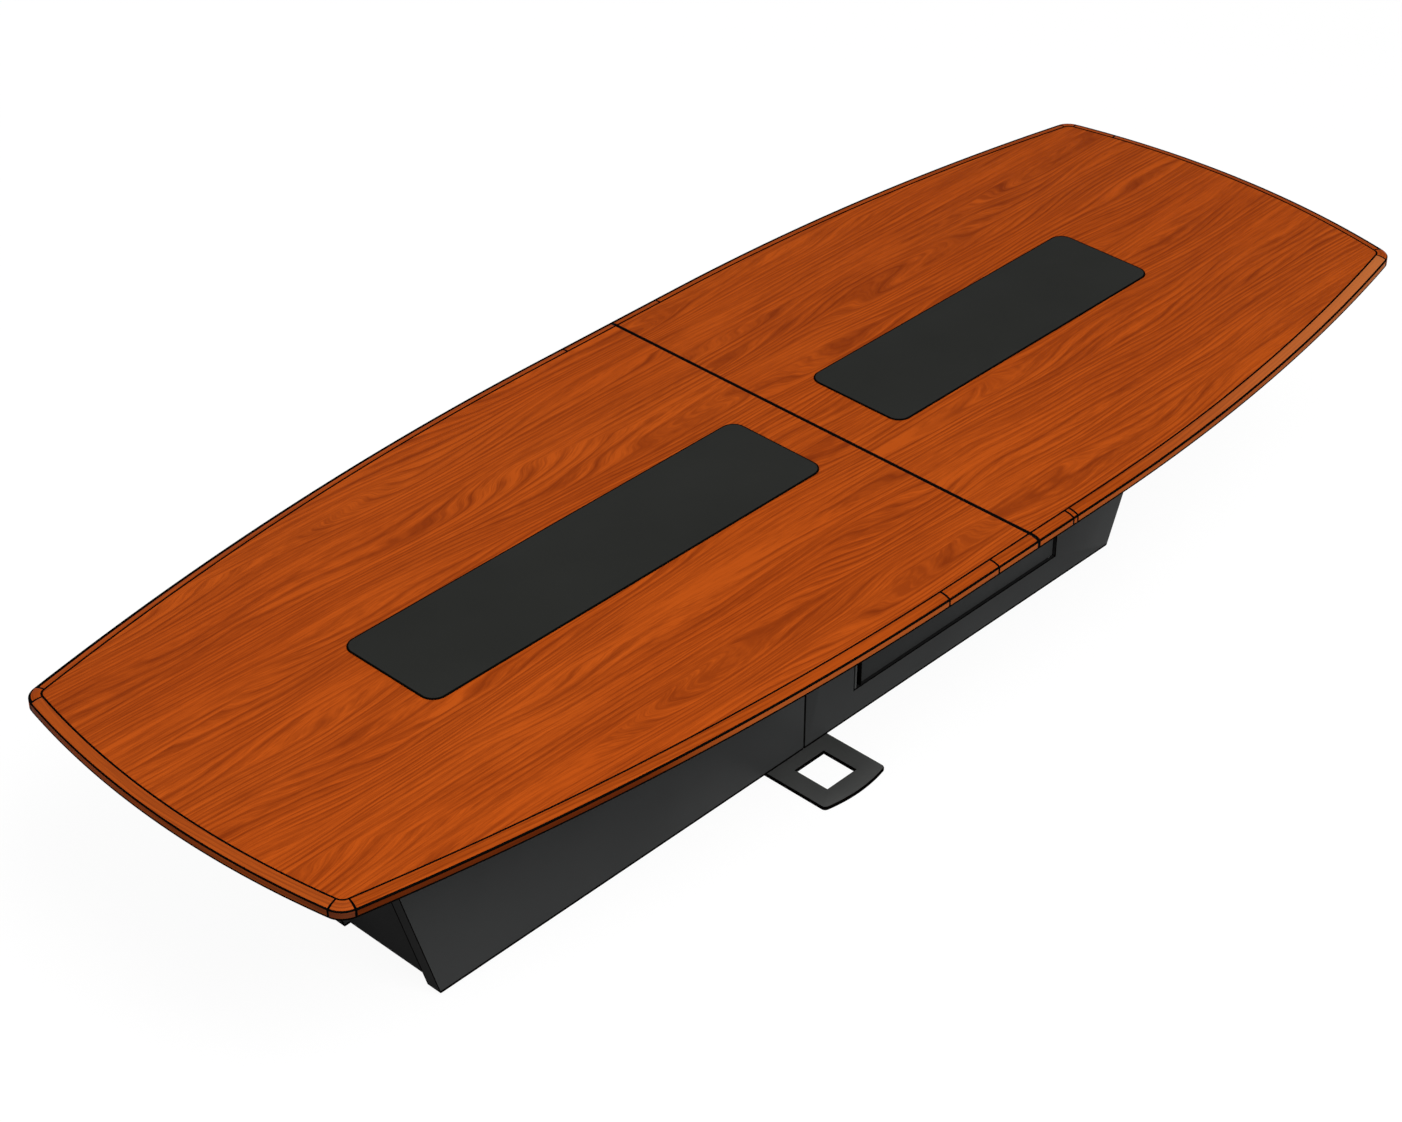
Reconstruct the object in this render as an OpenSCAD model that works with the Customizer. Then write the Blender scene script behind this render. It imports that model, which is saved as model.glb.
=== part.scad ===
// Boat-shaped conference table: a cherry top in two halves with a framed edge and two
// dark inlaid pads, on a long dark slab base with an access door and a steel cross foot.
// +X runs along the table to its far end, +Y across it to the back, +Z up from the floor.

/* [Table top] */
// Overall length
table_l = 3640; // [3400:20:4200]
// Overall width across the straight middle
table_w = 1350; // [1300:2:1500]
// Height of the worktop above the floor
table_h = 760; // [700:5:900]
// Thickness of the table top
top_t = 30; // [28:1:36]
// Where the two halves meet, from the middle of the length
seam_x = 135; // [100:5:200]
// Joint left between the two halves
seam_gap = 1; // [0.4:0.2:2]
// Bevel along the top of the joint between the halves
seam_bevel = 3; // [1:0.5:4]
// Where the straight middle of the long edges starts
mid_near_x = -130; // [-200:2:-80]
// Where the straight middle of the long edges stops
mid_far_x = 372; // [360:5:460]
// Radius of the long edges of the near half
near_side_r = 7610; // [7000:5:9000]
// Radius of the long edges of the far half
far_side_r = 6340; // [5800:5:8000]
// Radius of the bowed near end
near_end_r = 2330; // [2000:5:3000]
// Radius of the bowed far end
far_end_r = 2080; // [1900:5:3000]
// Radius of the four corners in plan
corner_r = 50; // [44:1:70]

/* [Edge frame] */
// Width of the edge moulding
moulding_w = 27; // [18:1:30]
// How far the moulding's convex upper face drops
moulding_drop = 5.5; // [4:0.5:12]
// Bevel along the moulding's two outer edges
arris = 2.5; // [1:0.5:4]
// Joint left between neighbouring lengths of moulding
moulding_joint = 1; // [0.4:0.2:2]
// Reach of the moulding's tongue into the panel
tongue_l = 8; // [5:1:12]
// Thickness of the moulding's tongue
tongue_t = 6; // [4:1:8]
// Width of the black stringing between panel and moulding
stringing_w = 4; // [2:0.5:6]
// Depth of the black stringing
stringing_t = 3; // [2:0.5:5]
// Length of the short front moulding on the near side of the seam
front_near_short_l = 140; // [100:1:160]
// Length of the middle front moulding on the near side of the seam
front_near_mid_l = 169; // [150:1:200]
// Length of the short front moulding on the far side of the seam
front_far_short_l = 124; // [100:1:140]
// Length of the infill block in the front moulding
infill_l = 15; // [10:1:18]
// Length of the short back moulding on the near side of the seam
back_near_short_l = 168; // [100:1:170]
// Length of the short back moulding on the far side of the seam
back_far_short_l = 154; // [100:1:165]
// Length of the short moulding on the far end, beside its back corner
far_end_short_l = 120; // [60:1:200]

/* [Inlaid pads] */
// Width of both pads
pad_w = 290; // [200:2:400]
// Thickness of a pad
pad_t = 8.5; // [7:0.5:12]
// Depth of the pocket that a pad is set in
pocket_depth = 6; // [4:0.5:7]
// Play round a pad in its pocket
pad_play = 0.5; // [0.2:0.1:1]
// Corner radius of a pad
pad_r = 35; // [10:1:60]
// Length of the near pad
near_pad_l = 1220; // [800:2:1300]
// Distance from the seam to the near pad
near_pad_gap = 120; // [100:2:200]
// Length of the far pad
far_pad_l = 968; // [600:2:1050]
// Distance from the seam to the far pad
far_pad_gap = 142; // [130:2:200]

/* [Base] */
// Where the base's side panels are joined, from the middle of the length
base_x = -73; // [-90:1:-60]
// Length at the floor from that joint to the near end
base_near_l = 1185; // [1100:1:1300]
// Length at the floor from that joint to the far end
base_far_l = 1184; // [1130:1:1300]
// Width over the side panels
base_w = 360; // [340:2:480]
// Thickness of the side panels
side_t = 44; // [38:1:50]
// Shadow gap between the near and far side panels
panel_gap = 3; // [1:0.5:5]
// Lean of the near end, in degrees
near_lean = 16.7; // [5:0.1:20]
// Lean of the far end, in degrees
far_lean = 21.5; // [5:0.1:23]
// Thickness of the end panels, the bulkhead and the rails
board_t = 22; // [18:1:28]
// How far the end panels are set back from the side panels' ends
end_recess = 18; // [10:1:30]
// Width of the top rails near the ends
rail_w = 120; // [90:5:160]
// Width of the top rail under the seam
seam_rail_w = 180; // [150:5:240]
// Height of the bottom rails
bottom_rail_h = 90; // [70:2:120]
// Thickness of the steel splice plates and brackets
steel_t = 3; // [2:0.5:5]
// Width of a splice plate
splice_w = 120; // [100:5:140]
// Height of a splice plate
splice_h = 500; // [400:10:520]

/* [Cross foot] */
// Width of the foot plate along the table
foot_w = 218; // [200:2:300]
// Length of the foot plate across the table
foot_l = 756; // [700:2:900]
// Thickness of the foot plate, which lifts the panels by as much
foot_t = 10; // [8:1:14]
// Bow of the foot plate's outer ends
foot_bow = 14; // [6:1:30]
// Corner radius of the foot plate
foot_corner_r = 12; // [5:1:20]
// Place of the foot plate from the base's joint
foot_shift = -23; // [-30:1:20]
// Side of the square windows in the foot plate
window_w = 100; // [60:1:120]
// Distance from the base's outer face to a window
window_gap = 40; // [25:1:60]

/* [Access door] */
// Width of the door opening
door_w = 782; // [600:2:800]
// Height of the side panel's head above the door opening
head_h = 80; // [70:5:120]
// Distance from the base's joint to the door opening
door_from_joint = 178; // [160:1:190]
// Height of the sill above the side panel's lower edge
sill_h = 79; // [70:1:100]
// Thickness of the door leaf
leaf_t = 18; // [16:1:20]
// How far the leaf is set back from the side panel's face
leaf_recess = 6; // [3:0.5:9]
// Gap round the leaf
leaf_gap = 3; // [2:0.5:4]
// Gap at the hinged edge
hinge_gap = 5; // [5:0.5:8]
// Distance from the pivot to the leaf's hinged edge
pivot_inset = 10; // [8:0.5:10]
// Width of the full-height finger pull
pull_w = 24; // [20:1:30]
// Width of the finger channel in the pull
channel_w = 12; // [8:1:16]
// Depth of the finger channel in the pull
channel_d = 10; // [6:1:12]

/* [Levelling glides] */
// Diameter of a glide's foot
glide_d = 24; // [18:1:30]
// Height of a glide's foot
glide_t = 6; // [4:0.5:7]
// Diameter of a glide's stem
stem_d = 8; // [6:1:10]
// Length of a glide's stem
stem_l = 36; // [32:1:40]
// Outer diameter of the threaded inserts
insert_d = 13; // [12:0.5:16]
// Length of the threaded inserts
insert_l = 20; // [14:1:22]
// Distance from the base's ends to the outer glides
glide_inset = 40; // [30:1:80]
// How far a glide screws out
glide_travel = 12; // [6:1:16]

/* [Fasteners] */
// Diameter of the wooden dowels in the base
dowel_d = 8; // [6:1:10]
// Length of the wooden dowels in the base
dowel_l = 44; // [30:2:48]
// Diameter of the wooden dowels across the seam
seam_dowel_d = 10; // [8:1:12]
// Length of the wooden dowels across the seam
seam_dowel_l = 60; // [40:2:80]
// Diameter of the bolts that pull the halves together
seam_bolt_d = 8; // [6:1:10]
// Distance between the two pockets of a seam bolt
pocket_pitch = 100; // [80:2:140]
// Side of a seam bolt's pocket
pocket_w = 36; // [30:1:44]
// Depth of a seam bolt's pocket
bolt_pocket_depth = 18; // [16:1:20]
// Shank diameter of the wood screws
screw_d = 5; // [4:0.5:6]
// Head diameter of the wood screws
head_d = 10; // [8:0.5:12]
// Head height of the wood screws
head_t = 3; // [2:0.5:4]
// Thread of the screws held in the table top
top_bite = 16; // [12:1:18]
// Thread of the screws held in the side panels
side_bite = 24; // [16:1:28]
// Length of a top bracket along the table
bracket_w = 60; // [50:2:90]
// Length of a top bracket's legs
bracket_leg = 40; // [32:1:50]
// Length of the countersunk foot screws
foot_screw_l = 50; // [40:1:70]

/* [Hidden] */

// Clearances
overrun = 1;
glue_gap = 0.15;
run_play = 0.05;
hole_play = 0.2;
rest_gap = 0.3;

// Steps in the outlines' arcs
side_steps = 36;
end_steps = 20;
corner_steps = 12;
profile_steps = 8;
smooth = 64;
fine = 1440;

// Heights and faces that several pieces share
under_z = table_h - top_t;
base_z = foot_t;
panel_h = under_z - base_z;
outer_y = base_w / 2;
inner_y = outer_y - side_t;
side_mid_y = outer_y - side_t / 2;
field_inset = moulding_w + glue_gap;
tongue_z = (top_t - tongue_t) / 2;

// The halves of the top, each written as running towards -X; the far one is mirrored
MID = 0;
SIDE_R = 1;
END_R = 2;
SEAM = 3;
PAD_L = 4;
PAD_GAP = 5;
near_half = [mid_near_x, near_side_r, near_end_r, seam_x, near_pad_l, near_pad_gap];
far_half = [-mid_far_x, far_side_r, far_end_r, -seam_x, far_pad_l, far_pad_gap];

// Places along the base, as shares of the length from its joint to an end
near_bracket_shares = [0.85, 0.45];
far_bracket_shares = [0.36, 0.85];
near_rail_share = 0.65;
far_rail_share = 0.62;
near_bottom_share = 0.5;
far_bottom_share = 0.9;
inner_glide_share = 0.45;
// Places across the seam, as shares of half the table's width
seam_dowel_shares = [-0.85, -0.6, -0.3, 0.3, 0.6, 0.85];
seam_bolt_shares = [-0.72, -0.42, 0.42, 0.72];
// Places up the base, as shares of the panels' height
board_dowel_shares = [0.1, 0.93];
splice_screw_shares = [-0.4, -0.14, 0.14, 0.4];
// Places across a part, as shares of that part's own size
rail_screw_share = 0.3;
rail_dowel_share = 0.3;
bottom_dowel_share = 0.28;
bracket_screw_share = 0.3;
splice_side_share = 0.33;
foot_screw_share = 0.3;
splice_rise_share = 0.5;

bracket_x = concat([for (s = near_bracket_shares) base_x - s * base_near_l],
    [for (s = far_bracket_shares) base_x + s * base_far_l]);
top_rails = [
    [base_x - near_rail_share * base_near_l, rail_w],
    [seam_x, seam_rail_w],
    [base_x + far_rail_share * base_far_l, rail_w]];
bottom_rail_x = [base_x - near_bottom_share * base_near_l, base_x + far_bottom_share * base_far_l];
glide_x = [
    base_x - base_near_l + glide_inset, base_x - inner_glide_share * base_near_l,
    base_x + inner_glide_share * base_far_l, base_x + base_far_l - glide_inset];
splice_z = base_z + splice_rise_share * panel_h;

// Door: its opening, its leaf and the axis that it turns on
door_x0 = base_x + door_from_joint;
door_x1 = door_x0 + door_w;
door_z0 = base_z + sill_h;
door_z1 = under_z - head_h;
leaf_x0 = door_x0 + leaf_gap + pull_w;
leaf_x1 = door_x1 - hinge_gap;
leaf_z0 = door_z0 + leaf_gap;
leaf_z1 = door_z1 - leaf_gap;
leaf_front_y = -outer_y + leaf_recess;
leaf_back_y = leaf_front_y + leaf_t;
pivot_x = leaf_x1 - pivot_inset;
pivot_y = leaf_front_y + leaf_t / 2;
pin_d = 8;
pin_reach = 12;
pin_root = 16;
collar_d = 14;
bush_wall = 2;
bush_l = 15;
pull_undercut = 3;
pull_lip = 2.5;
catch_l = 46;
catch_h = 14;
catch_from_pull = 60;
strike_t = 1.2;

// Seam fittings
washer_t = 2.5;
washer_d = 16;
nut_d = 15;
nut_t = 6.5;
bolt_tail = 4;
channel_play = 1;
bolt_z = 10;

// Foot screws
cone_t = 4;
foot_x = base_x + foot_shift;
cone_skin = 0.3;

wood = "#a84716";
wood_edge = "#9a4015";
black = "#161615";
pad_black = "#2f302e";
panel_grey = "#353736";
foot_grey = "#313331";
board_tan = "#b9966c";
birch = "#d9b887";
zinc = "#a7aaad";
nylon = "#1d1d1e";
brass_tone = "#b08d4a";

// Points and directions
function direction(v) = atan2(v.y, v.x);
function arc_points(c, r, a0, a1, steps, first = 0) =
    [for (i = [first:steps]) let (a = a0 + (a1 - a0) * i / steps) c + r * [cos(a), sin(a)]];
function circles_meet(c1, r1, c2, r2) =
    let (d = norm(c2 - c1), along = (r1 * r1 - r2 * r2 + d * d) / (2 * d),
        aside = sqrt(r1 * r1 - along * along), e = (c2 - c1) / d)
    c1 + along * e + aside * [-e.y, e.x];
function rounded_points(size, r) =
    let (a = size.x / 2 - r, b = size.y / 2 - r)
    concat(arc_points([a, b], r, 0, 90, corner_steps), arc_points([-a, b], r, 90, 180, corner_steps),
        arc_points([-a, -b], r, 180, 270, corner_steps), arc_points([a, -b], r, 270, 360, corner_steps));

// Centres of the arcs that bound a half, and the directions in which they meet
function side_centre(h) = [h[MID], table_w / 2 - h[SIDE_R]];
function end_centre(h) = [h[END_R] - table_l / 2, 0];
function corner_centre(h) =
    circles_meet(side_centre(h), h[SIDE_R] - corner_r, end_centre(h), h[END_R] - corner_r);
function side_turn(h) = direction(corner_centre(h) - side_centre(h));
function end_turn(h) = direction(corner_centre(h) - end_centre(h));

// Outline of a half, drawn in from its outermost edge and run past the seam if asked
function half_points(h, inset, past = 0) =
    let (back = concat(
        [[h[SEAM] + past, table_w / 2 - inset]],
        arc_points(side_centre(h), h[SIDE_R] - inset, 90, side_turn(h), side_steps),
        arc_points(corner_centre(h), corner_r - inset, side_turn(h), end_turn(h), corner_steps, 1),
        arc_points(end_centre(h), h[END_R] - inset, end_turn(h), 180, end_steps, 1)))
    concat(back, [for (i = [len(back) - 2:-1:0]) [back[i].x, -back[i].y]]);

// Ends of the base at a height
function near_end_x(z) = base_x - base_near_l - (z - base_z) * tan(near_lean);
function far_end_x(z) = base_x + base_far_l + (z - base_z) * tan(far_lean);
function end_board_x(z, share, far) =
    let (depth = end_recess + share * board_t / cos(far ? far_lean : near_lean))
    far ? far_end_x(z) - depth : near_end_x(z) + depth;

// Table top panels
module edge_cut(h, z, t, reach) {
    translate([0, 0, z]) linear_extrude(t) difference() {
        polygon(half_points(h, field_inset - overrun, overrun));
        polygon(half_points(h, field_inset + reach, 2 * overrun));
    }
}
module pad_outline(h, grow) {
    translate([h[SEAM] - h[PAD_GAP] - h[PAD_L] / 2, 0])
        polygon(rounded_points([h[PAD_L] + 2 * grow, pad_w + 2 * grow], pad_r + grow));
}
module seam_dowel_places() {
    for (s = seam_dowel_shares)
        translate([0, s * table_w / 2, under_z + top_t / 2]) rotate([0, 90, 0]) children();
}
module seam_bolt_places() {
    for (s = seam_bolt_shares) translate([0, s * table_w / 2, under_z]) children();
}
module seam_bolt_pocket() {
    translate([-pocket_pitch / 2 - pocket_w / 2, -pocket_w / 2, -overrun])
        cube([pocket_w, pocket_w, bolt_pocket_depth + overrun]);
    translate([-pocket_pitch / 2, -seam_bolt_d / 2 - channel_play, -overrun])
        cube([pocket_pitch / 2 + overrun, seam_bolt_d + 2 * channel_play,
            bolt_z + seam_bolt_d / 2 + channel_play + overrun]);
}
module seam_bevel_cut(h) {
    x = h[SEAM] - seam_gap / 2;
    translate([0, table_w / 2, 0]) rotate([90, 0, 0]) linear_extrude(table_w)
        polygon([[x - seam_bevel, table_h], [x, table_h - seam_bevel],
            [x + overrun, table_h - seam_bevel], [x + overrun, table_h + overrun],
            [x - seam_bevel, table_h + overrun]]);
}
module top_half(h) {
    difference() {
        translate([0, 0, under_z]) linear_extrude(top_t)
            polygon(half_points(h, field_inset, -seam_gap / 2));
        edge_cut(h, table_h - stringing_t - glue_gap, stringing_t + glue_gap + overrun,
            stringing_w);
        edge_cut(h, under_z + tongue_z - glue_gap, tongue_t + 2 * glue_gap, tongue_l);
        translate([0, 0, table_h - pocket_depth]) linear_extrude(pocket_depth + overrun)
            pad_outline(h, pad_play);
        translate([h[SEAM], 0, 0]) {
            seam_dowel_places() translate([0, 0, -seam_dowel_l / 2 - overrun])
                cylinder(h = seam_dowel_l / 2 + 2 * overrun, d = seam_dowel_d + hole_play, $fn = smooth);
            seam_bolt_places() seam_bolt_pocket();
        }
        seam_bevel_cut(h);
    }
}
module top_screw_holes() {
    top_bracket_places() bracket_top_holes() screw_hole(top_bite);
    for (r = top_rails) rail_screw_places(r) translate([0, 0, board_t]) screw_hole(top_bite);
}
module top_near() {
    color(wood) difference() {
        top_half(near_half);
        top_screw_holes();
    }
}
module top_far() {
    color(wood) difference() {
        mirror([1, 0, 0]) top_half(far_half);
        top_screw_holes();
    }
}

// Pads, glued into their pockets
module pad(h) {
    color(pad_black) translate([0, 0, table_h - pocket_depth]) linear_extrude(pad_t) pad_outline(h, 0);
}
module pad_near() {
    pad(near_half);
}
module pad_far() {
    mirror([1, 0, 0]) pad(far_half);
}

// Black stringing, let into the panels' top edge
module stringing(h) {
    color(black) translate([0, 0, table_h - stringing_t]) linear_extrude(stringing_t) difference() {
        polygon(half_points(h, field_inset, -seam_gap / 2));
        polygon(half_points(h, moulding_w + stringing_w, overrun));
    }
}
module stringing_near() {
    stringing(near_half);
}
module stringing_far() {
    mirror([1, 0, 0]) stringing(far_half);
}

// Edge moulding: one section, run straight or round an arc
module moulding_section() {
    run = moulding_w - arris;
    bow_r = (run * run + moulding_drop * moulding_drop) / (2 * moulding_drop);
    polygon(concat(
        [[0, 0], [run, 0], [moulding_w, arris], [moulding_w, top_t - moulding_drop - arris]],
        arc_points([0, top_t - bow_r], bow_r, acos(run / bow_r), 90, profile_steps),
        [[0, tongue_z + tongue_t], [-tongue_l, tongue_z + tongue_t], [-tongue_l, tongue_z],
            [0, tongue_z]]));
}
function joint_angle(r) = moulding_joint / 2 / r * 180 / PI;
module moulding_arc(c, r, a0, a1) {
    translate([c.x, c.y, under_z]) rotate([0, 0, a0]) rotate_extrude(angle = a1 - a0, $fn = fine)
        translate([r - moulding_w, 0]) moulding_section();
}
module moulding_bar(x0, x1) {
    translate([x0, table_w / 2 - moulding_w, under_z]) rotate([90, 0, 90]) linear_extrude(x1 - x0)
        moulding_section();
}
module moulding_long(h, short_l) {
    color(wood_edge) union() {
        moulding_bar(h[MID], h[SEAM] - short_l - moulding_joint / 2);
        moulding_arc(side_centre(h), h[SIDE_R], 90, side_turn(h) - joint_angle(h[SIDE_R]));
    }
}
module moulding_short(h, l, from = 0) {
    color(wood_edge) moulding_bar(h[SEAM] - from - l + moulding_joint / 2,
        h[SEAM] - from - (from > 0 ? moulding_joint : seam_gap) / 2);
}
module moulding_corner(h) {
    give = joint_angle(corner_r);
    color(wood_edge)
        moulding_arc(corner_centre(h), corner_r, side_turn(h) + give, end_turn(h) - give);
}
module moulding_end(h, a0, a1) {
    give = joint_angle(h[END_R]);
    color(wood_edge) moulding_arc(end_centre(h), h[END_R], a0 + give, a1 - give);
}
// Direction from the end's centre to the joint in the far end's moulding
far_end_turn = end_turn(far_half) + far_end_short_l / far_end_r * 180 / PI;
module moulding_end_near() {
    moulding_end(near_half, end_turn(near_half), 360 - end_turn(near_half));
}
module moulding_end_far_long() {
    mirror([1, 0, 0]) moulding_end(far_half, far_end_turn, 360 - end_turn(far_half));
}
module moulding_end_far_short() {
    mirror([1, 0, 0]) moulding_end(far_half, end_turn(far_half), far_end_turn);
}
module corner_near_back() {
    moulding_corner(near_half);
}
module corner_near_front() {
    mirror([0, 1, 0]) moulding_corner(near_half);
}
module corner_far_back() {
    mirror([1, 0, 0]) moulding_corner(far_half);
}
module corner_far_front() {
    mirror([1, 0, 0]) mirror([0, 1, 0]) moulding_corner(far_half);
}
// Direction from the front edge's centre to the joint beside its middle length
function mid_turn(h, l) = 90 + (l - h[SEAM] + h[MID]) / h[SIDE_R] * 180 / PI;
front_mid_turn = mid_turn(near_half, front_near_short_l + front_near_mid_l);
module moulding_front_near_long() {
    give = joint_angle(near_side_r);
    color(wood_edge) mirror([0, 1, 0]) moulding_arc(side_centre(near_half), near_side_r,
        front_mid_turn + give, side_turn(near_half) - give);
}
module moulding_front_near_mid() {
    color(wood_edge) mirror([0, 1, 0]) union() {
        moulding_bar(near_half[MID], seam_x - front_near_short_l - moulding_joint / 2);
        moulding_arc(side_centre(near_half), near_side_r, 90,
            front_mid_turn - joint_angle(near_side_r));
    }
}
module moulding_front_near_short() {
    mirror([0, 1, 0]) moulding_short(near_half, front_near_short_l);
}
module moulding_front_far_short() {
    mirror([1, 0, 0]) mirror([0, 1, 0]) moulding_short(far_half, front_far_short_l);
}
module moulding_infill() {
    mirror([1, 0, 0]) mirror([0, 1, 0]) moulding_short(far_half, infill_l, front_far_short_l);
}
module moulding_front_far_long() {
    mirror([1, 0, 0]) mirror([0, 1, 0]) moulding_long(far_half, front_far_short_l + infill_l);
}
module moulding_back_near_long() {
    moulding_long(near_half, back_near_short_l);
}
module moulding_back_near_short() {
    moulding_short(near_half, back_near_short_l);
}
module moulding_back_far_short() {
    mirror([1, 0, 0]) moulding_short(far_half, back_far_short_l);
}
module moulding_back_far_long() {
    mirror([1, 0, 0]) moulding_long(far_half, back_far_short_l);
}

// Fittings across the seam
module seam_dowels() {
    color(birch) translate([seam_x, 0, 0]) seam_dowel_places()
        translate([0, 0, -seam_dowel_l / 2]) cylinder(h = seam_dowel_l, d = seam_dowel_d, $fn = smooth);
}
module seam_bolt() {
    // The washers bear on the inner walls of the two pockets
    bearing = pocket_pitch / 2 - pocket_w / 2;
    rod_l = 2 * (bearing + washer_t + nut_t + bolt_tail);
    translate([0, 0, bolt_z]) rotate([0, 90, 0]) {
        translate([0, 0, -rod_l / 2]) cylinder(h = rod_l, d = seam_bolt_d, $fn = smooth);
        for (s = [0, 1]) mirror([0, 0, s]) {
            translate([0, 0, bearing]) cylinder(h = washer_t, d = washer_d, $fn = smooth);
            translate([0, 0, bearing + washer_t]) cylinder(h = nut_t, d = nut_d, $fn = 6);
        }
    }
}
module seam_bolts() {
    color(zinc) translate([seam_x, 0, 0]) seam_bolt_places() seam_bolt();
}

// Wood screw along +Z, its head under the origin
module screw(l) {
    translate([0, 0, -head_t]) cylinder(h = head_t, d = head_d, $fn = smooth);
    translate([0, 0, -overrun]) cylinder(h = l + overrun, d = screw_d, $fn = smooth);
}
module screw_hole(l) {
    translate([0, 0, -overrun])
        cylinder(h = l + 2 * overrun, d = screw_d + hole_play, $fn = smooth);
}

// Steel angles between the side panels and the top
module top_bracket_places() {
    for (x = bracket_x, s = [0, 1]) mirror([0, s, 0]) translate([x, -inner_y, under_z]) children();
}
module bracket_top_holes() {
    for (s = [-1, 1])
        translate([s * bracket_screw_share * bracket_w, (bracket_leg + steel_t) / 2, 0]) children();
}
module bracket_side_holes() {
    for (s = [-1, 1]) translate([s * bracket_screw_share * bracket_w, 0, -(bracket_leg + steel_t) / 2])
        rotate([90, 0, 0]) children();
}
module top_brackets() {
    color(zinc) top_bracket_places() difference() {
        translate([-bracket_w / 2, 0, 0]) rotate([90, 0, 90]) linear_extrude(bracket_w)
            polygon([[0, 0], [0, -bracket_leg], [steel_t, -bracket_leg], [steel_t, -steel_t],
                [bracket_leg, -steel_t], [bracket_leg, 0]]);
        bracket_top_holes() translate([0, 0, -steel_t]) screw_hole(steel_t);
        bracket_side_holes() translate([0, 0, -steel_t]) screw_hole(steel_t);
    }
}
module bracket_screws() {
    color(zinc) top_bracket_places() {
        bracket_top_holes() translate([0, 0, -steel_t]) screw(steel_t + top_bite);
        bracket_side_holes() translate([0, 0, -steel_t]) screw(steel_t + side_bite);
    }
}

// Rails under the top, laid flat between the side panels
module rail_screw_places(r) {
    for (s = [-1, 1], t = [-1, 1])
        translate([r[0] + s * rail_screw_share * r[1], t * inner_y / 2, under_z - board_t]) children();
}
module rail_dowel_places(r) {
    for (s = [-1, 1])
        translate([r[0] + s * rail_dowel_share * r[1], 0, under_z - board_t / 2]) children();
}
module top_rail(r) {
    color(board_tan) difference() {
        translate([r[0] - r[1] / 2, -inner_y, under_z - board_t]) cube([r[1], 2 * inner_y, board_t]);
        rail_screw_places(r) screw_hole(board_t);
        rail_dowel_places(r) cross_dowels(hole_play);
    }
}
module top_rail_near() {
    top_rail(top_rails[0]);
}
module top_rail_seam() {
    top_rail(top_rails[1]);
}
module top_rail_far() {
    top_rail(top_rails[2]);
}
module rail_screws() {
    color(zinc) for (r = top_rails) rail_screw_places(r) screw(board_t + top_bite);
}

// Dowels between a cross board and both side panels
module cross_dowels(play) {
    for (s = [-1, 1]) translate([0, s * inner_y, 0]) rotate([90, 0, 0])
        translate([0, 0, -dowel_l / 2 - play])
            cylinder(h = dowel_l + 2 * play, d = dowel_d + play, $fn = smooth);
}
module bottom_rail_dowel_places(x) {
    for (s = [-1, 1])
        translate([x, 0, base_z + bottom_rail_h / 2 + s * bottom_dowel_share * bottom_rail_h])
            children();
}
module board_dowel_places() {
    for (share = board_dowel_shares) let (z = base_z + share * panel_h) {
        translate([base_x, 0, z]) children();
        for (far = [false, true]) translate([end_board_x(z, 0.5, far), 0, z]) children();
    }
}
module all_dowel_places() {
    for (r = top_rails) rail_dowel_places(r) children();
    for (x = bottom_rail_x) bottom_rail_dowel_places(x) children();
    board_dowel_places() children();
}
module base_dowels() {
    color(birch) all_dowel_places() cross_dowels(0);
}

// Rails on edge at the foot of the base
module bottom_rail(x) {
    color(board_tan) difference() {
        translate([x - board_t / 2, -inner_y, base_z]) cube([board_t, 2 * inner_y, bottom_rail_h]);
        bottom_rail_dowel_places(x) cross_dowels(hole_play);
    }
}
module bottom_rail_near() {
    bottom_rail(bottom_rail_x[0]);
}
module bottom_rail_far() {
    bottom_rail(bottom_rail_x[1]);
}

// Leaning end panels and the bulkhead at the base's joint
module end_panel(far) {
    color(panel_grey) difference() {
        translate([0, inner_y, 0]) rotate([90, 0, 0]) linear_extrude(2 * inner_y)
            polygon([[end_board_x(base_z, 0, far), base_z], [end_board_x(base_z, 1, far), base_z],
                [end_board_x(under_z, 1, far), under_z], [end_board_x(under_z, 0, far), under_z]]);
        board_dowel_places() cross_dowels(hole_play);
    }
}
module end_panel_near() {
    end_panel(false);
}
module end_panel_far() {
    end_panel(true);
}
module bulkhead() {
    color(board_tan) difference() {
        translate([base_x - board_t / 2, -inner_y, base_z]) cube([board_t, 2 * inner_y, panel_h]);
        splice_block(hole_play);
        board_dowel_places() cross_dowels(hole_play);
    }
}

// Steel plates that join the near and far side panels from inside
module splice_block(play) {
    for (s = [0, 1]) mirror([0, s, 0])
        translate([base_x - splice_w / 2, -inner_y - play, splice_z - splice_h / 2 - play])
            cube([splice_w, steel_t + 2 * play, splice_h + 2 * play]);
}
module splice_screw_places() {
    for (s = [0, 1], t = [-1, 1], share = splice_screw_shares) mirror([0, s, 0])
        translate([base_x + t * splice_side_share * splice_w, -inner_y + steel_t,
            splice_z + share * splice_h]) rotate([90, 0, 0]) children();
}
module splice_plates() {
    color(foot_grey) difference() {
        splice_block(0);
        splice_screw_places() screw_hole(steel_t);
    }
}
module splice_screws() {
    color(zinc) splice_screw_places() screw(steel_t + side_bite);
}

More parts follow.
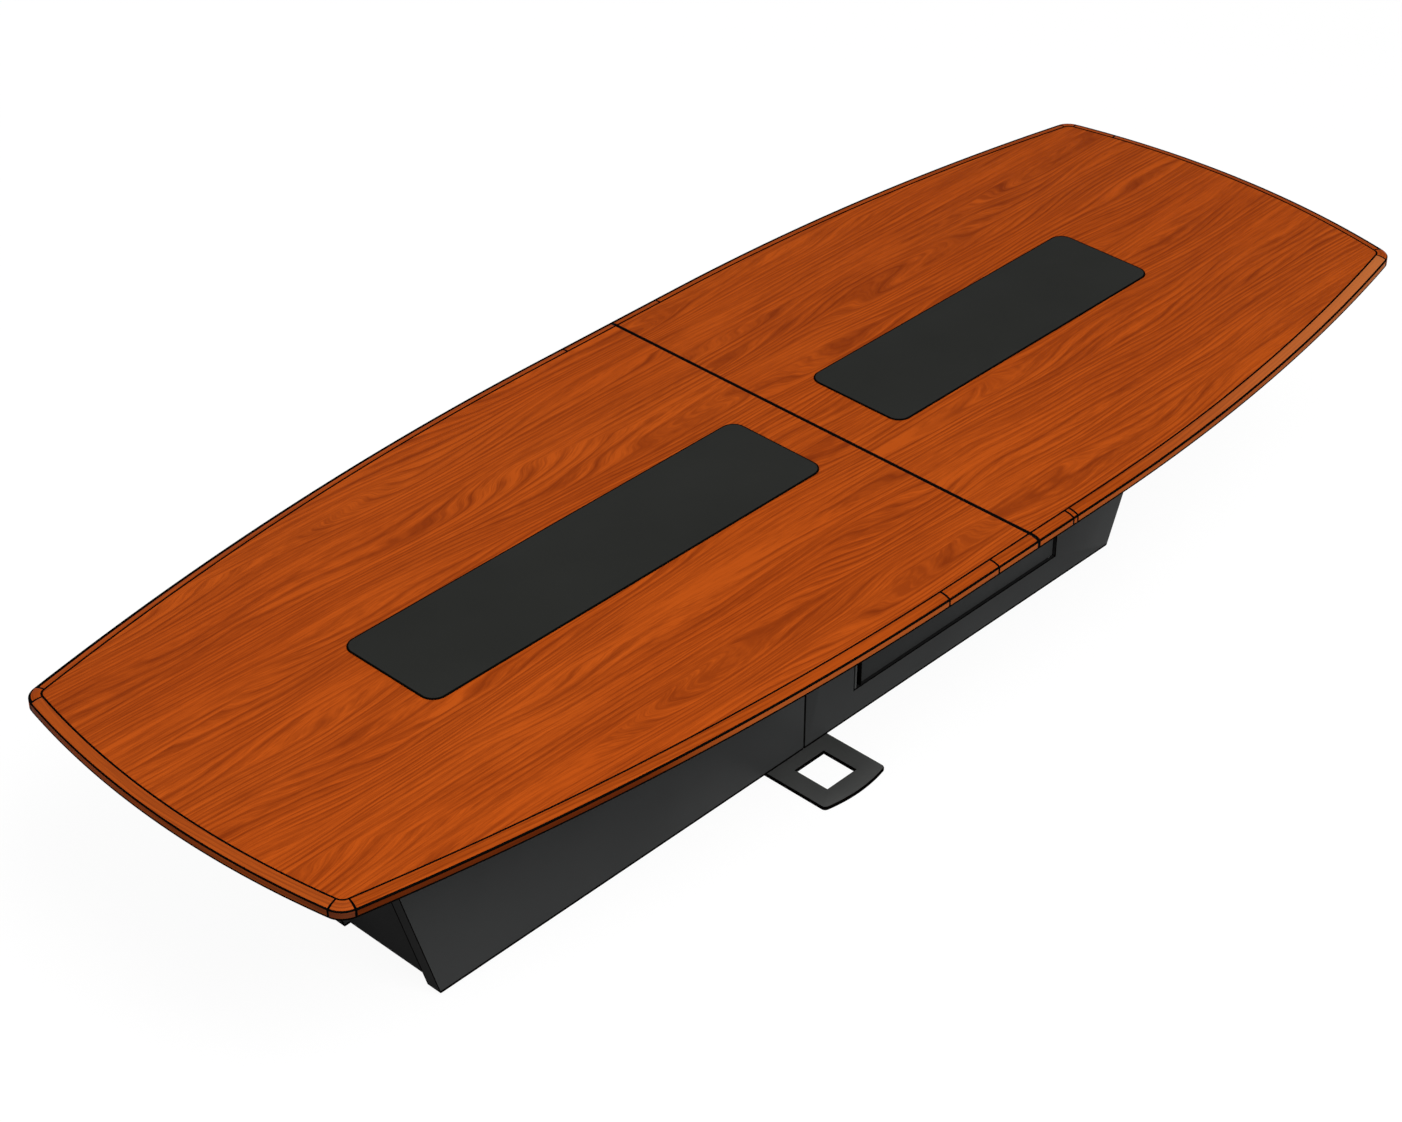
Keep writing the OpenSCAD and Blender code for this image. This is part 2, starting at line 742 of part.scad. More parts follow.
// Side panels
module side_panel(front, far) {
    y_high = front ? -inner_y : outer_y;
    x_joint = base_x + (far ? panel_gap : -panel_gap) / 2;
    difference() {
        translate([0, y_high, 0]) rotate([90, 0, 0]) linear_extrude(side_t)
            polygon([[x_joint, base_z], [far ? far_end_x(base_z) : near_end_x(base_z), base_z],
                [far ? far_end_x(under_z) : near_end_x(under_z), under_z], [x_joint, under_z]]);
        all_dowel_places() cross_dowels(hole_play);
        top_bracket_places() bracket_side_holes() screw_hole(side_bite);
        splice_screw_places() screw_hole(steel_t + side_bite);
        foot_screw_places() foot_screw_hole(hole_play);
        for (x = glide_x, s = [-1, 1]) translate([x, s * side_mid_y, base_z]) glide_hole();
    }
}
module side_front_near() {
    color(panel_grey) side_panel(true, false);
}
module side_back_near() {
    color(panel_grey) side_panel(false, false);
}
module side_back_far() {
    color(panel_grey) side_panel(false, true);
}
module side_front_far() {
    color(panel_grey) difference() {
        side_panel(true, true);
        translate([door_x0, -outer_y - overrun, door_z0])
            cube([door_w, side_t + 2 * overrun, door_z1 - door_z0]);
        pivot_places(door_z0, door_z1) translate([0, 0, -pin_root])
            cylinder(h = pin_root + overrun, d = pin_d, $fn = smooth);
    }
}

// Steel foot plate across the base, with a window at each end
module foot_outline() {
    half_w = foot_w / 2;
    side_l = foot_l / 2 - foot_bow;
    bow_r = (half_w * half_w + foot_bow * foot_bow) / (2 * foot_bow);
    bow_c = [0, foot_l / 2 - bow_r];
    r = foot_corner_r;
    // A corner's arc touches the straight side and the bowed end
    corner_y = bow_c.y + sqrt(pow(bow_r - r, 2) - pow(half_w - r, 2));
    corner_c = [half_w - r, corner_y];
    turn = direction(corner_c - bow_c);
    quarter = concat(arc_points(corner_c, r, 0, turn, corner_steps),
        arc_points(bow_c, bow_r, turn, 90, corner_steps, 1));
    end = concat(quarter, [for (i = [len(quarter) - 2:-1:0]) [-quarter[i].x, quarter[i].y]]);
    polygon(concat(end, [for (p = end) -p]));
}
module foot_screw_places() {
    for (s = [-1, 1], t = [-1, 1])
        translate([foot_x + s * foot_screw_share * foot_w, t * side_mid_y, 0]) children();
}
module foot_screw_hole(play) {
    translate([0, 0, -overrun])
        cylinder(h = foot_screw_l + 2 * overrun, d = screw_d + play, $fn = smooth);
}
module cross_foot() {
    color(foot_grey) difference() {
        translate([foot_x, 0, 0]) linear_extrude(foot_t) foot_outline();
        for (s = [-1, 1])
            translate([foot_x - window_w / 2, s * (outer_y + window_gap + window_w / 2) - window_w / 2,
                -overrun]) cube([window_w, window_w, foot_t + 2 * overrun]);
        foot_screw_places() {
            foot_screw_hole(hole_play);
            countersink(hole_play, overrun);
        }
    }
}
module countersink(play, past) {
    translate([0, 0, -past]) cylinder(h = cone_skin + past, d = head_d + play, $fn = smooth);
    translate([0, 0, cone_skin])
        cylinder(h = cone_t, d1 = head_d + play, d2 = screw_d + play, $fn = smooth);
}
module foot_screws() {
    color(zinc) foot_screw_places() {
        translate([0, 0, cone_skin]) {
            cylinder(h = cone_t, d1 = head_d, d2 = screw_d, $fn = smooth);
            cylinder(h = foot_screw_l - cone_skin, d = screw_d, $fn = smooth);
        }
    }
}

// Door leaf, pull, pivots and catch
module pivot_places(low, high) {
    translate([pivot_x, pivot_y, low]) children();
    translate([pivot_x, pivot_y, high]) mirror([0, 0, 1]) children();
}
module door_leaf() {
    color(panel_grey) difference() {
        translate([leaf_x0, leaf_front_y, leaf_z0])
            cube([leaf_x1 - leaf_x0, leaf_t, leaf_z1 - leaf_z0]);
        pivot_places(leaf_z0, leaf_z1) translate([0, 0, -overrun])
            cylinder(h = bush_l + overrun, d = pin_d + 2 * bush_wall, $fn = smooth);
        strike_place() translate([0, -strike_t, 0])
            cube([catch_l, strike_t + overrun, catch_h]);
    }
}
module pivot_bushes() {
    color(brass_tone) pivot_places(leaf_z0, leaf_z1) difference() {
        cylinder(h = bush_l, d = pin_d + 2 * bush_wall, $fn = smooth);
        translate([0, 0, -overrun])
            cylinder(h = bush_l + 2 * overrun, d = pin_d + 2 * run_play, $fn = smooth);
    }
}
module pivot_pins() {
    color(zinc) pivot_places(door_z0, door_z1) {
        translate([0, 0, -pin_root])
            cylinder(h = pin_root + leaf_gap + pin_reach, d = pin_d, $fn = smooth);
        cylinder(h = leaf_gap - run_play, d = collar_d, $fn = smooth);
    }
}
module door_pull() {
    depth = leaf_recess + leaf_t;
    x0 = (pull_w - channel_w) / 2;
    x1 = x0 + channel_w;
    color(panel_grey) translate([door_x0 + leaf_gap, -outer_y, leaf_z0])
        linear_extrude(leaf_z1 - leaf_z0)
            polygon([[0, 0], [x0, 0], [x0, pull_lip], [x0 - pull_undercut, pull_lip],
                [x0 - pull_undercut, channel_d], [x1, channel_d], [x1, 0], [pull_w, 0],
                [pull_w, depth], [0, depth]]);
}
module strike_place() {
    translate([leaf_x0 + catch_from_pull, leaf_back_y, leaf_z1 - catch_h]) children();
}
module strike_plate() {
    color(zinc) strike_place() translate([0, -strike_t, 0]) cube([catch_l, strike_t, catch_h]);
}
module magnet_catch() {
    y0 = leaf_back_y + rest_gap;
    color(nylon) translate([leaf_x0 + catch_from_pull, y0, door_z1 - catch_h - leaf_gap])
        cube([catch_l, -inner_y - y0, catch_h + leaf_gap]);
}

// Levelling glides and the threaded inserts that they screw into
module glide_hole() {
    translate([0, 0, -overrun]) cylinder(h = insert_l + overrun, d = insert_d, $fn = smooth);
    cylinder(h = stem_l + overrun, d = stem_d + 2 * hole_play, $fn = smooth);
}
module glide_inserts() {
    color(brass_tone) for (x = glide_x, s = [-1, 1]) translate([x, s * side_mid_y, base_z])
        difference() {
            cylinder(h = insert_l, d = insert_d, $fn = smooth);
            translate([0, 0, -overrun])
                cylinder(h = insert_l + 2 * overrun, d = stem_d + 2 * run_play, $fn = smooth);
        }
}
module glide(i, s) {
    translate([glide_x[i], s * side_mid_y, 0]) {
        color(nylon) cylinder(h = glide_t, d = glide_d, $fn = smooth);
        color(zinc) translate([0, 0, glide_t]) cylinder(h = stem_l, d = stem_d, $fn = smooth);
    }
}
module glide_front_1() {
    glide(0, -1);
}
module glide_front_2() {
    glide(1, -1);
}
module glide_front_3() {
    glide(2, -1);
}
module glide_front_4() {
    glide(3, -1);
}
module glide_back_1() {
    glide(0, 1);
}
module glide_back_2() {
    glide(1, 1);
}
module glide_back_3() {
    glide(2, 1);
}
module glide_back_4() {
    glide(3, 1);
}

top_near();
top_far();
pad_near();
pad_far();
stringing_near();
stringing_far();
moulding_end_near();
moulding_end_far_long();
moulding_end_far_short();
corner_near_front();
corner_near_back();
corner_far_front();
corner_far_back();
moulding_front_near_long();
moulding_front_near_mid();
moulding_front_near_short();
moulding_front_far_short();
moulding_infill();
moulding_front_far_long();
moulding_back_near_long();
moulding_back_near_short();
moulding_back_far_short();
moulding_back_far_long();
seam_dowels();
seam_bolts();
side_front_near();
side_front_far();
side_back_near();
side_back_far();
end_panel_near();
end_panel_far();
bulkhead();
top_rail_near();
top_rail_seam();
top_rail_far();
bottom_rail_near();
bottom_rail_far();
splice_plates();
top_brackets();
rail_screws();
bracket_screws();
splice_screws();
base_dowels();
cross_foot();
foot_screws();
door_leaf();
door_pull();
pivot_pins();
pivot_bushes();
magnet_catch();
strike_plate();
glide_inserts();
glide_front_1();
glide_front_2();
glide_front_3();
glide_front_4();
glide_back_1();
glide_back_2();
glide_back_3();
glide_back_4();
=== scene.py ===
"""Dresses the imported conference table: edge mouldings, pads, slab panels, door, foot and glides
are modelled here, and every other part of the table gets its finish."""
import functools
import math

import bmesh
import bpy
from bpy.props import FloatProperty, FloatVectorProperty, PointerProperty
from mathutils import Color, Matrix, Vector


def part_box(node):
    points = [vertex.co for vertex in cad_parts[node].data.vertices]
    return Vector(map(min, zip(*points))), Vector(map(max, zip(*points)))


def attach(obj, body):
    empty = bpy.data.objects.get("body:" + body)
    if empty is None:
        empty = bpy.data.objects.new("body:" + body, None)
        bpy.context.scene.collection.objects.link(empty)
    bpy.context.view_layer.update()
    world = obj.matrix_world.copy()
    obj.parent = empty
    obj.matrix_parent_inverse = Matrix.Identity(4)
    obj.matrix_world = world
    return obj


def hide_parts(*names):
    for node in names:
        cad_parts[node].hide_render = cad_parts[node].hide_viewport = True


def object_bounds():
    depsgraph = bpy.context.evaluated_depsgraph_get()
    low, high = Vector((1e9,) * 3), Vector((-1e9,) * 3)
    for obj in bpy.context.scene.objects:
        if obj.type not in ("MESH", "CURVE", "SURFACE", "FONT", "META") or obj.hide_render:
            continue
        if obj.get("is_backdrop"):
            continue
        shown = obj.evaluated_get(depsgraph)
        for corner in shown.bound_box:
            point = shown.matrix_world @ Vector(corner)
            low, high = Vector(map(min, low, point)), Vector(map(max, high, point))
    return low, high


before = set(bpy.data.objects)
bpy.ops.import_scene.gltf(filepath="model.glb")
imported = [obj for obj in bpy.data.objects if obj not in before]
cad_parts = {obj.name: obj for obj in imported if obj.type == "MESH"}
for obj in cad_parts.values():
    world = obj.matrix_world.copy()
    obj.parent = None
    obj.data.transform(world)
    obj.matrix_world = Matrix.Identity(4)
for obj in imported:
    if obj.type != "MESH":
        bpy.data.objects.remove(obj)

bl_info = {
    "name": "Conference table",
    "version": (1, 0, 0),
    "blender": (4, 5, 0),
    "location": "View3D > Sidebar > Table",
    "description": "Builds the visible pieces and finishes of a boat-shaped conference table",
    "category": "Object",
}

CAD_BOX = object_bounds()

# Sizes of the table, in metres, as the solids have them
TABLE_L = 3.640
TABLE_W = 1.350
TABLE_H = 0.760
TOP_T = 0.030
UNDER_Z = TABLE_H - TOP_T
SEAM_X = 0.135
SEAM_GAP = 0.001
CORNER_R = 0.050
MOULDING_W = 0.027
MOULDING_DROP = 0.0055
ARRIS = 0.0025
JOINT = 0.001
PAD_W = 0.290
PAD_T = 0.0085
POCKET = 0.006
PAD_R = 0.035
BASE_X = -0.073
BASE_NEAR_L = 1.185
BASE_FAR_L = 1.184
OUTER_Y = 0.180
SIDE_T = 0.044
INNER_Y = OUTER_Y - SIDE_T
PANEL_GAP = 0.003
NEAR_LEAN = math.radians(16.7)
FAR_LEAN = math.radians(21.5)
BASE_Z = 0.010
BOARD_T = 0.022
END_RECESS = 0.018
FOOT_W = 0.218
FOOT_L = 0.756
FOOT_BOW = 0.014
FOOT_X = -0.096
WINDOW = 0.100
WINDOW_GAP = 0.040

# A half of the top runs towards -X; the far half is written so too, and mirrored
NEAR = {"mid": -0.130, "side_r": 7.610, "end_r": 2.330, "seam": SEAM_X, "pad_l": 1.220,
        "pad_gap": 0.120, "mirror": 1}
FAR = {"mid": -0.372, "side_r": 6.340, "end_r": 2.080, "seam": -SEAM_X, "pad_l": 0.968,
       "pad_gap": 0.142, "mirror": -1}
FRONT_SHORT = {1: 0.140, -1: 0.124}
FRONT_MID = 0.169
BACK_SHORT = {1: 0.168, -1: 0.154}
INFILL = 0.015
FAR_END_SHORT = 0.120

# Half widths of the dark lines at the seam and at the mouldings' joints
SEAM_LINE = 0.0048
JOINT_LINE = 0.0024

# Facets across a moulding's bow and along the foot's, and those that a dark brow covers
BOW_STEPS = 6
BROW = 3
CORNER_BROW = 1

# What the rounding of the foot's corners takes off their edges
FOOT_CORNER = 0.0096

# The door's opening in its side board, the inset from which it is drawn, and the pull's channel
OPENING_X = 0.178
OPENING_W = 0.782
SILL_H = 0.079
HEAD_H = 0.080
FIRST_INSET = 0.050
PULL_SLOT = 0.012
PULL_SLOT_D = 0.010
PULL_LIP_T = 0.0025
PULL_UNDERCUT = 0.003
PULL_BEVEL = 0.0006

# Radius and height of the steps of a glide's domed pad, and its stem
GLIDE_PAD = ((0, 0), (0.0100, 0), (0.0114, 0.0006), (0.0120, 0.0018), (0.0118, 0.0036),
             (0.0100, 0.0052), (0.0072, 0.0060), (0.0040, 0.0060))
GLIDE_STEM_R = 0.0040
GLIDE_CHAMFER = 0.0008

# Limits for finding places and faces
TINY = 1e-6
NEAR_BY = 1e-4
SQUARE_ON = 0.9

# Camera's yaw, pitch and roll in degrees and its place, and each lamp's size and place
CAMERA_TURN = (43.338, 35.189, 0.235)
CAMERA_PLACE = (-4.692, -4.196, 4.874)
LAMPS = (("Key", (5.0, 4.0), (-2.0, -5.4, 8.2)), ("Fill", (4.0, 3.0), (-8.0, -1.5, 3.5)),
         ("Front", (6.0, 2.0), (1.5, -8.8, 1.8)), ("Back", (6.0, 2.0), (2.5, 8.8, 1.8)))
LIGHT_AIM = (0, 0, 0.5)

# The floor, and what a camera sees of it: its own glow, and paint that catches shadows
WHITE = (1, 1, 1, 1)
FLOOR_SIZE = 60.0
FLOOR_GLOW = 0.93
FLOOR_PAINT = (0.11, 0.11, 0.11, 1)


def linear(r, g, b):
    """Scene colour of a colour written as 0 to 255."""
    parts = [c / 255 for c in (r, g, b)]
    return tuple(c / 12.92 if c <= 0.04045 else ((c + 0.055) / 1.055) ** 2.4 for c in parts)


def colour_setting(name, description, rgb):
    return FloatVectorProperty(name=name, description=description, subtype="COLOR", size=3,
                               min=0.0, max=1.0, default=linear(*rgb))


def length_setting(name, description, value):
    return FloatProperty(name=name, description=description, unit="LENGTH", subtype="DISTANCE",
                         min=0.0, default=value)


def power_setting(name, description, value):
    return FloatProperty(name=name, description=description, unit="POWER", min=0.0, default=value)


class TableFinish(bpy.types.PropertyGroup):
    """Colours of the table's finishes."""
    cherry_light: colour_setting("Light cherry", "Bright streaks in the cherry", (209, 98, 28))
    cherry_body: colour_setting("Cherry", "Main colour of the cherry", (191, 82, 20))
    cherry_dark: colour_setting("Dark cherry", "Dark growth lines in the cherry", (117, 40, 8))
    # Painted highlight colour, laid over the front and near-end mouldings to make them look lit
    lit_cherry: colour_setting("Pale cherry", "Worn stain on the front and near edges", (206, 122, 66))
    glaze: colour_setting("Glaze", "Dark lines in joints and arrises", (9, 8, 7))
    pad: colour_setting("Pad", "Writing surface of the pads", (35, 36, 34))
    slab: colour_setting("Slab", "Laminate of the base", (65, 66, 66))
    slab_edge: colour_setting("Slab edge", "Ends and edge bands of the base", (62, 62, 62))
    # Painted shade: the darker colour of the opening's jambs, sill and head stands in for the shade in
    # the door's recess
    slab_lip: colour_setting("Slab lip", "Band round the door's opening", (38, 38, 38))
    leaf: colour_setting("Leaf", "Laminate of the door", (54, 55, 55))
    steel_coat: colour_setting("Foot coat", "Powder coat of the foot and plates", (80, 81, 80))
    board: colour_setting("Board", "Particle board inside the base", (176, 142, 98))
    beech: colour_setting("Beech", "Turned dowels", (214, 180, 134))
    zinc: colour_setting("Zinc", "Plated screws and angles", (170, 172, 175))
    brass: colour_setting("Brass", "Bushes and inserts", (176, 142, 78))
    nylon: colour_setting("Nylon", "Glides and catch", (26, 26, 27))


class TableDetail(bpy.types.PropertyGroup):
    """Small sizes of the pieces that are modelled here."""
    joint_bevel: length_setting("Joint bevel", "Bevel at the ends of a moulding", 0.0015)
    panel_bevel: length_setting("Panel bevel", "Bevel round the base's boards", 0.0018)
    pad_rim: length_setting("Pad rim", "Width of the dark rim round a pad", 0.003)
    pad_bevel: length_setting("Pad bevel", "Rounding of a pad's upper edge", 0.0008)
    upper_line: length_setting("Upper line", "Glaze below a moulding's upper arris", 0.0015)
    front_line: length_setting("Front line", "The same on the front mouldings", 0.0032)
    lower_line: length_setting("Lower line", "Glaze above a moulding's lower arris", 0.0045)
    inner_line: length_setting("Inner line", "Glaze along a moulding's inner edge", 0.0010)
    panel_line: length_setting("Panel line", "Glaze along the foot of a base board", 0.0070)
    edge_line: length_setting("Edge line", "Glaze along a base board's inner edges", 0.0060)
    foot_bevel: length_setting("Foot bevel", "Bevel round the foot plate", 0.0025)


class StudioSettings(bpy.types.PropertyGroup):
    """Camera and lights."""
    lens: FloatProperty(name="Lens", description="Focal length", unit="CAMERA", default=83.43)
    key_power: power_setting("Key light", "Power of the main light", 590.0)
    fill_power: power_setting("Fill light", "Power of the light from the near end", 110.0)
    front_power: power_setting("Front light", "Power of the low light in front", 150.0)
    back_power: power_setting("Back light", "Power of the low light behind", 120.0)
    ambient: FloatProperty(name="Ambient", description="Level of the sky on the object", min=0.0,
                           default=0.32)
    floor_level: FloatProperty(name="Floor", description="Light that the floor throws back",
                               subtype="FACTOR", min=0.0, max=1.0, default=0.05)


# Shader nodes


def add(tree, kind, **values):
    """A shader node with its settings, and its inputs where the name has the form in_NUMBER."""
    node = tree.nodes.new("ShaderNode" + kind)
    for name, value in values.items():
        if name.startswith("in_"):
            node.inputs[int(name[3:])].default_value = value
        else:
            setattr(node, name, value)
    return node


def wire(tree, source, target):
    tree.links.new(source, target)


def maths(tree, operation, first, second=None):
    node = add(tree, "Math", operation=operation)
    for socket, value in zip(node.inputs, (first, second)):
        if isinstance(value, (int, float)):
            socket.default_value = value
        elif value is not None:
            wire(tree, value, socket)
    return node.outputs[0]


def times(tree, first, second):
    return maths(tree, "MULTIPLY", first, second)


def blend(tree, factor, first, second, kind="MIX"):
    """Mixes two colours; each is a socket or a colour."""
    node = add(tree, "Mix", data_type="RGBA", blend_type=kind)
    for socket, value in ((node.inputs[0], factor), (node.inputs[6], first), (node.inputs[7], second)):
        if isinstance(value, (int, float)):
            socket.default_value = value
        elif isinstance(value, (tuple, Color)):
            socket.default_value = (*value, 1.0)
        else:
            wire(tree, value, socket)
    return node.outputs[2]


def spread(tree, value, low, high, out_low=0.0, out_high=1.0):
    node = add(tree, "MapRange", clamp=True, in_1=low, in_2=high, in_3=out_low, in_4=out_high)
    wire(tree, value, node.inputs[0])
    return node.outputs[0]


def apart(tree, vector):
    """X, Y and Z of a vector."""
    node = add(tree, "SeparateXYZ")
    wire(tree, vector, node.inputs[0])
    return node.outputs


def together(tree, *parts):
    """A vector of an X, a Y and a Z; what is None stays 0."""
    node = add(tree, "CombineXYZ")
    for part, socket in zip(parts, node.inputs):
        if part is not None:
            wire(tree, part, socket)
    return node.outputs[0]


def noise(tree, vector, scale, detail=2.0, roughness=0.5, distortion=0.0):
    """Noise along a vector; the scale is one number, or one for each of X, Y and Z."""
    if isinstance(scale, tuple):
        node = add(tree, "Mapping", in_3=scale)
        wire(tree, vector, node.inputs[0])
        vector, scale = node.outputs[0], 1.0
    node = add(tree, "TexNoise")
    for label, value in (("Scale", scale), ("Detail", detail), ("Roughness", roughness),
                         ("Distortion", distortion)):
        node.inputs[label].default_value = value
    wire(tree, vector, node.inputs["Vector"])
    return node.outputs["Fac"]


def new_group(name, settings, results):
    """A shared effect that takes a vector and some numbers, and gives numbers."""
    group = bpy.data.node_groups.new(name, "ShaderNodeTree")
    group.interface.new_socket("Vector", in_out="INPUT", socket_type="NodeSocketVector")
    for label, value in settings.items():
        socket = group.interface.new_socket(label, in_out="INPUT", socket_type="NodeSocketFloat")
        socket.default_value = value
    for label in results:
        group.interface.new_socket(label, in_out="OUTPUT", socket_type="NodeSocketFloat")
    return group, group.nodes.new("NodeGroupInput"), group.nodes.new("NodeGroupOutput")


def cherry_group():
    """Figure of flat-sawn cherry that runs along the vector's X, in metres."""
    group, given, out = new_group(
        "Cherry figure", {"Seed": 0.0, "Lines per metre": 60.0, "Arches": 9.0},
        ("Lines", "Streaks", "Clouds", "Pores"))
    seed, lines = given.outputs["Seed"], given.outputs["Lines per metre"]
    moved = add(group, "VectorMath", operation="ADD")
    wire(group, given.outputs["Vector"], moved.inputs[0])
    wire(group, together(group, seed, None, seed), moved.inputs[1])
    at = moved.outputs[0]
    x, y, z = apart(group, at)
    # Growth lines are the contours of a slope with a few long hills: straight, with pointed arches
    hills = spread(group, noise(group, at, (1.1, 8.0, 1.0), 1.0, 0.4), 0.40, 0.76)
    height = maths(group, "ADD", times(group, y, lines), times(group, hills, given.outputs["Arches"]))
    # The streaks follow the growth lines, so they are spread over the slope's height
    way = together(group, x, maths(group, "DIVIDE", height, lines), z)
    streaks = noise(group, way, (1.4, 44.0, 1.0), 5.0, 1.0)
    wobble = noise(group, way, (5.0, 60.0, 1.0))
    phase = maths(group, "FRACT", maths(group, "ADD", height, times(group, wobble, 0.9)))
    rise = maths(group, "POWER", spread(group, phase, 0.0, 0.78), 3.0)
    line = times(group, rise, spread(group, phase, 0.78, 1.0, 1.0, 0.0))
    presence = spread(group, noise(group, at, (2.5, 14.0, 1.0)), 0.42, 0.58)
    presence = maths(group, "MAXIMUM", presence, spread(group, hills, 0.1, 0.4))
    line = times(group, line, spread(group, presence, 0.0, 1.0, 0.15, 1.0))
    clouds = noise(group, at, (1.4, 5.0, 1.0), 2.0, 0.5, 0.3)
    pores = noise(group, at, (60.0, 1400.0, 1.0), 2.0, 0.6)
    for socket, value in zip(out.inputs, (line, streaks, clouds, pores)):
        wire(group, value, socket)
    return group


def speckle_group():
    """Faint cloudiness and a fine tooth, for laminate, coatings and moulded plastic."""
    group, given, out = new_group("Fine tooth", {"Tooth size": 900.0, "Cloud size": 5.0},
                                  ("Clouds", "Tooth"))
    for label, size, detail in (("Clouds", "Cloud size", 3.0), ("Tooth", "Tooth size", 1.0)):
        node = add(group, "TexNoise")
        node.inputs["Detail"].default_value = detail
        wire(group, given.outputs["Vector"], node.inputs["Vector"])
        wire(group, given.outputs[size], node.inputs["Scale"])
        wire(group, node.outputs["Fac"], out.inputs[label])
    return group


def chip_group():
    """Pressed chips of particle board."""
    group, given, out = new_group("Pressed chips", {"Chip size": 260.0}, ("Tone", "Height"))
    cells = add(group, "TexVoronoi")
    wire(group, given.outputs["Vector"], cells.inputs["Vector"])
    wire(group, given.outputs["Chip size"], cells.inputs["Scale"])
    split = add(group, "SeparateColor")
    wire(group, cells.outputs["Color"], split.inputs[0])
    wire(group, split.outputs[0], out.inputs["Tone"])
    wire(group, cells.outputs["Distance"], out.inputs["Height"])
    return group


def rub_group():
    """Faint hand polish: broad changes of gloss."""
    group, given, out = new_group("Hand polish", {"Low": 0.4, "High": 0.5}, ("Roughness",))
    field = noise(group, given.outputs["Vector"], 3.5, 3.0)
    node = add(group, "MapRange", in_1=0.3, in_2=0.7)
    wire(group, field, node.inputs[0])
    wire(group, given.outputs["Low"], node.inputs[3])
    wire(group, given.outputs["High"], node.inputs[4])
    wire(group, node.outputs[0], out.inputs["Roughness"])
    return group


@functools.cache
def shared(name):
    """The shared effect of that name, built the first time that it is asked for."""
    return {"cherry": cherry_group, "tooth": speckle_group, "chips": chip_group,
            "polish": rub_group}[name]()


def effect(tree, name, vector, **values):
    node = add(tree, "Group", node_tree=shared(name))
    wire(tree, vector, node.inputs["Vector"])
    for label, value in values.items():
        node.inputs[label.replace("_", " ")].default_value = value
    return node.outputs


def blank_material(name):
    """A material whose tree has no node yet, and the tree."""
    material = bpy.data.materials.new(name)
    material.use_nodes = True
    material.node_tree.nodes.clear()
    return material, material.node_tree


def new_material(name, **shader_values):
    """A material with its Principled shader, and the shader's constant values."""
    material, tree = blank_material(name)
    shader = add(tree, "BsdfPrincipled")
    wire(tree, shader.outputs[0], add(tree, "OutputMaterial").inputs[0])
    for label, value in shader_values.items():
        shader.inputs[label.replace("_", " ")].default_value = value
    return material, tree, shader


def bump(tree, shader, height, depth, strength):
    node = add(tree, "Bump")
    node.inputs["Strength"].default_value = strength
    node.inputs["Distance"].default_value = depth
    wire(tree, height, node.inputs["Height"])
    wire(tree, node.outputs[0], shader.inputs["Normal"])


def object_vector(tree):
    return add(tree, "TexCoord").outputs["Object"]


def uv_vector(tree, name="Run"):
    return add(tree, "UVMap", uv_map=name).outputs[0]


def cherry_colour(tree, vector, seed, lines, arches, depth=1.0):
    """Colour and pore height of cherry along a vector."""
    finish = bpy.context.scene.table_finish
    parts = effect(tree, "cherry", vector, Seed=seed, Lines_per_metre=lines, Arches=arches)
    cloud = spread(tree, parts["Clouds"], 0.34, 0.66)
    streak = spread(tree, parts["Streaks"], 0.42, 0.60)
    body = blend(tree, times(tree, cloud, 0.25), finish.cherry_body, finish.cherry_light)
    body = blend(tree, times(tree, streak, 0.54 * depth), body, finish.cherry_dark)
    body = blend(tree, times(tree, parts["Lines"], 0.62 * depth), body, finish.cherry_dark)
    return body, parts["Pores"]


# Painted shade and painted highlights on the front and near-end mouldings: two places along the table,
# and the strength at each
# Painted shadow on the front mouldings' outer face, deepest towards the near corner
FRONT_SHADOW = (-0.80, -1.08, 0.0, 0.78)
# Painted light: the front mouldings' outer face made paler away from the near corner
FRONT_FACE_LIGHT = (-1.02, -0.76, 0.0, 0.26)
# Painted highlight on the front mouldings towards the far end
FRONT_HIGHLIGHT = (0.45, 1.75, 0.0, 0.72)
# Painted shadow on the near end's outer face, deepest by the near front corner
END_SHADOW = (-1.800, -1.768, 0.22, 0.57)
# Painted highlight laid over the whole near-end moulding
END_HIGHLIGHT = 0.08
# What the shadow takes of the dark cherry's red, green and blue
SHADOW_TINT = (0.42, 0.58, 1.2)


def front_light_paint(tree, colour, along, face):
    """Painted light and shade on the front edge: a painted shadow on the outer face by the near corner,
    the outer face painted lighter further on, and a painted highlight towards the far end.
    """
    finish = bpy.context.scene.table_finish
    shadow = tuple(c * part for c, part in zip(finish.cherry_dark, SHADOW_TINT))
    colour = blend(tree, times(tree, face, spread(tree, along, *FRONT_SHADOW)), colour, shadow)
    pale = maths(tree, "MAXIMUM", spread(tree, along, *FRONT_HIGHLIGHT),
                 times(tree, face, spread(tree, along, *FRONT_FACE_LIGHT)))
    return blend(tree, pale, colour, finish.lit_cherry)


def end_light_paint(tree, colour, along, face):
    """Painted light and shade on the near end and the near front corner: a faint painted highlight all
    over, and a painted shadow on the outer face, so it is a little paler above than below and darkest
    on the outer face by the corner."""
    finish = bpy.context.scene.table_finish
    colour = blend(tree, END_HIGHLIGHT, colour, finish.lit_cherry)
    return blend(tree, times(tree, face, spread(tree, along, *END_SHADOW)), colour, finish.pad)


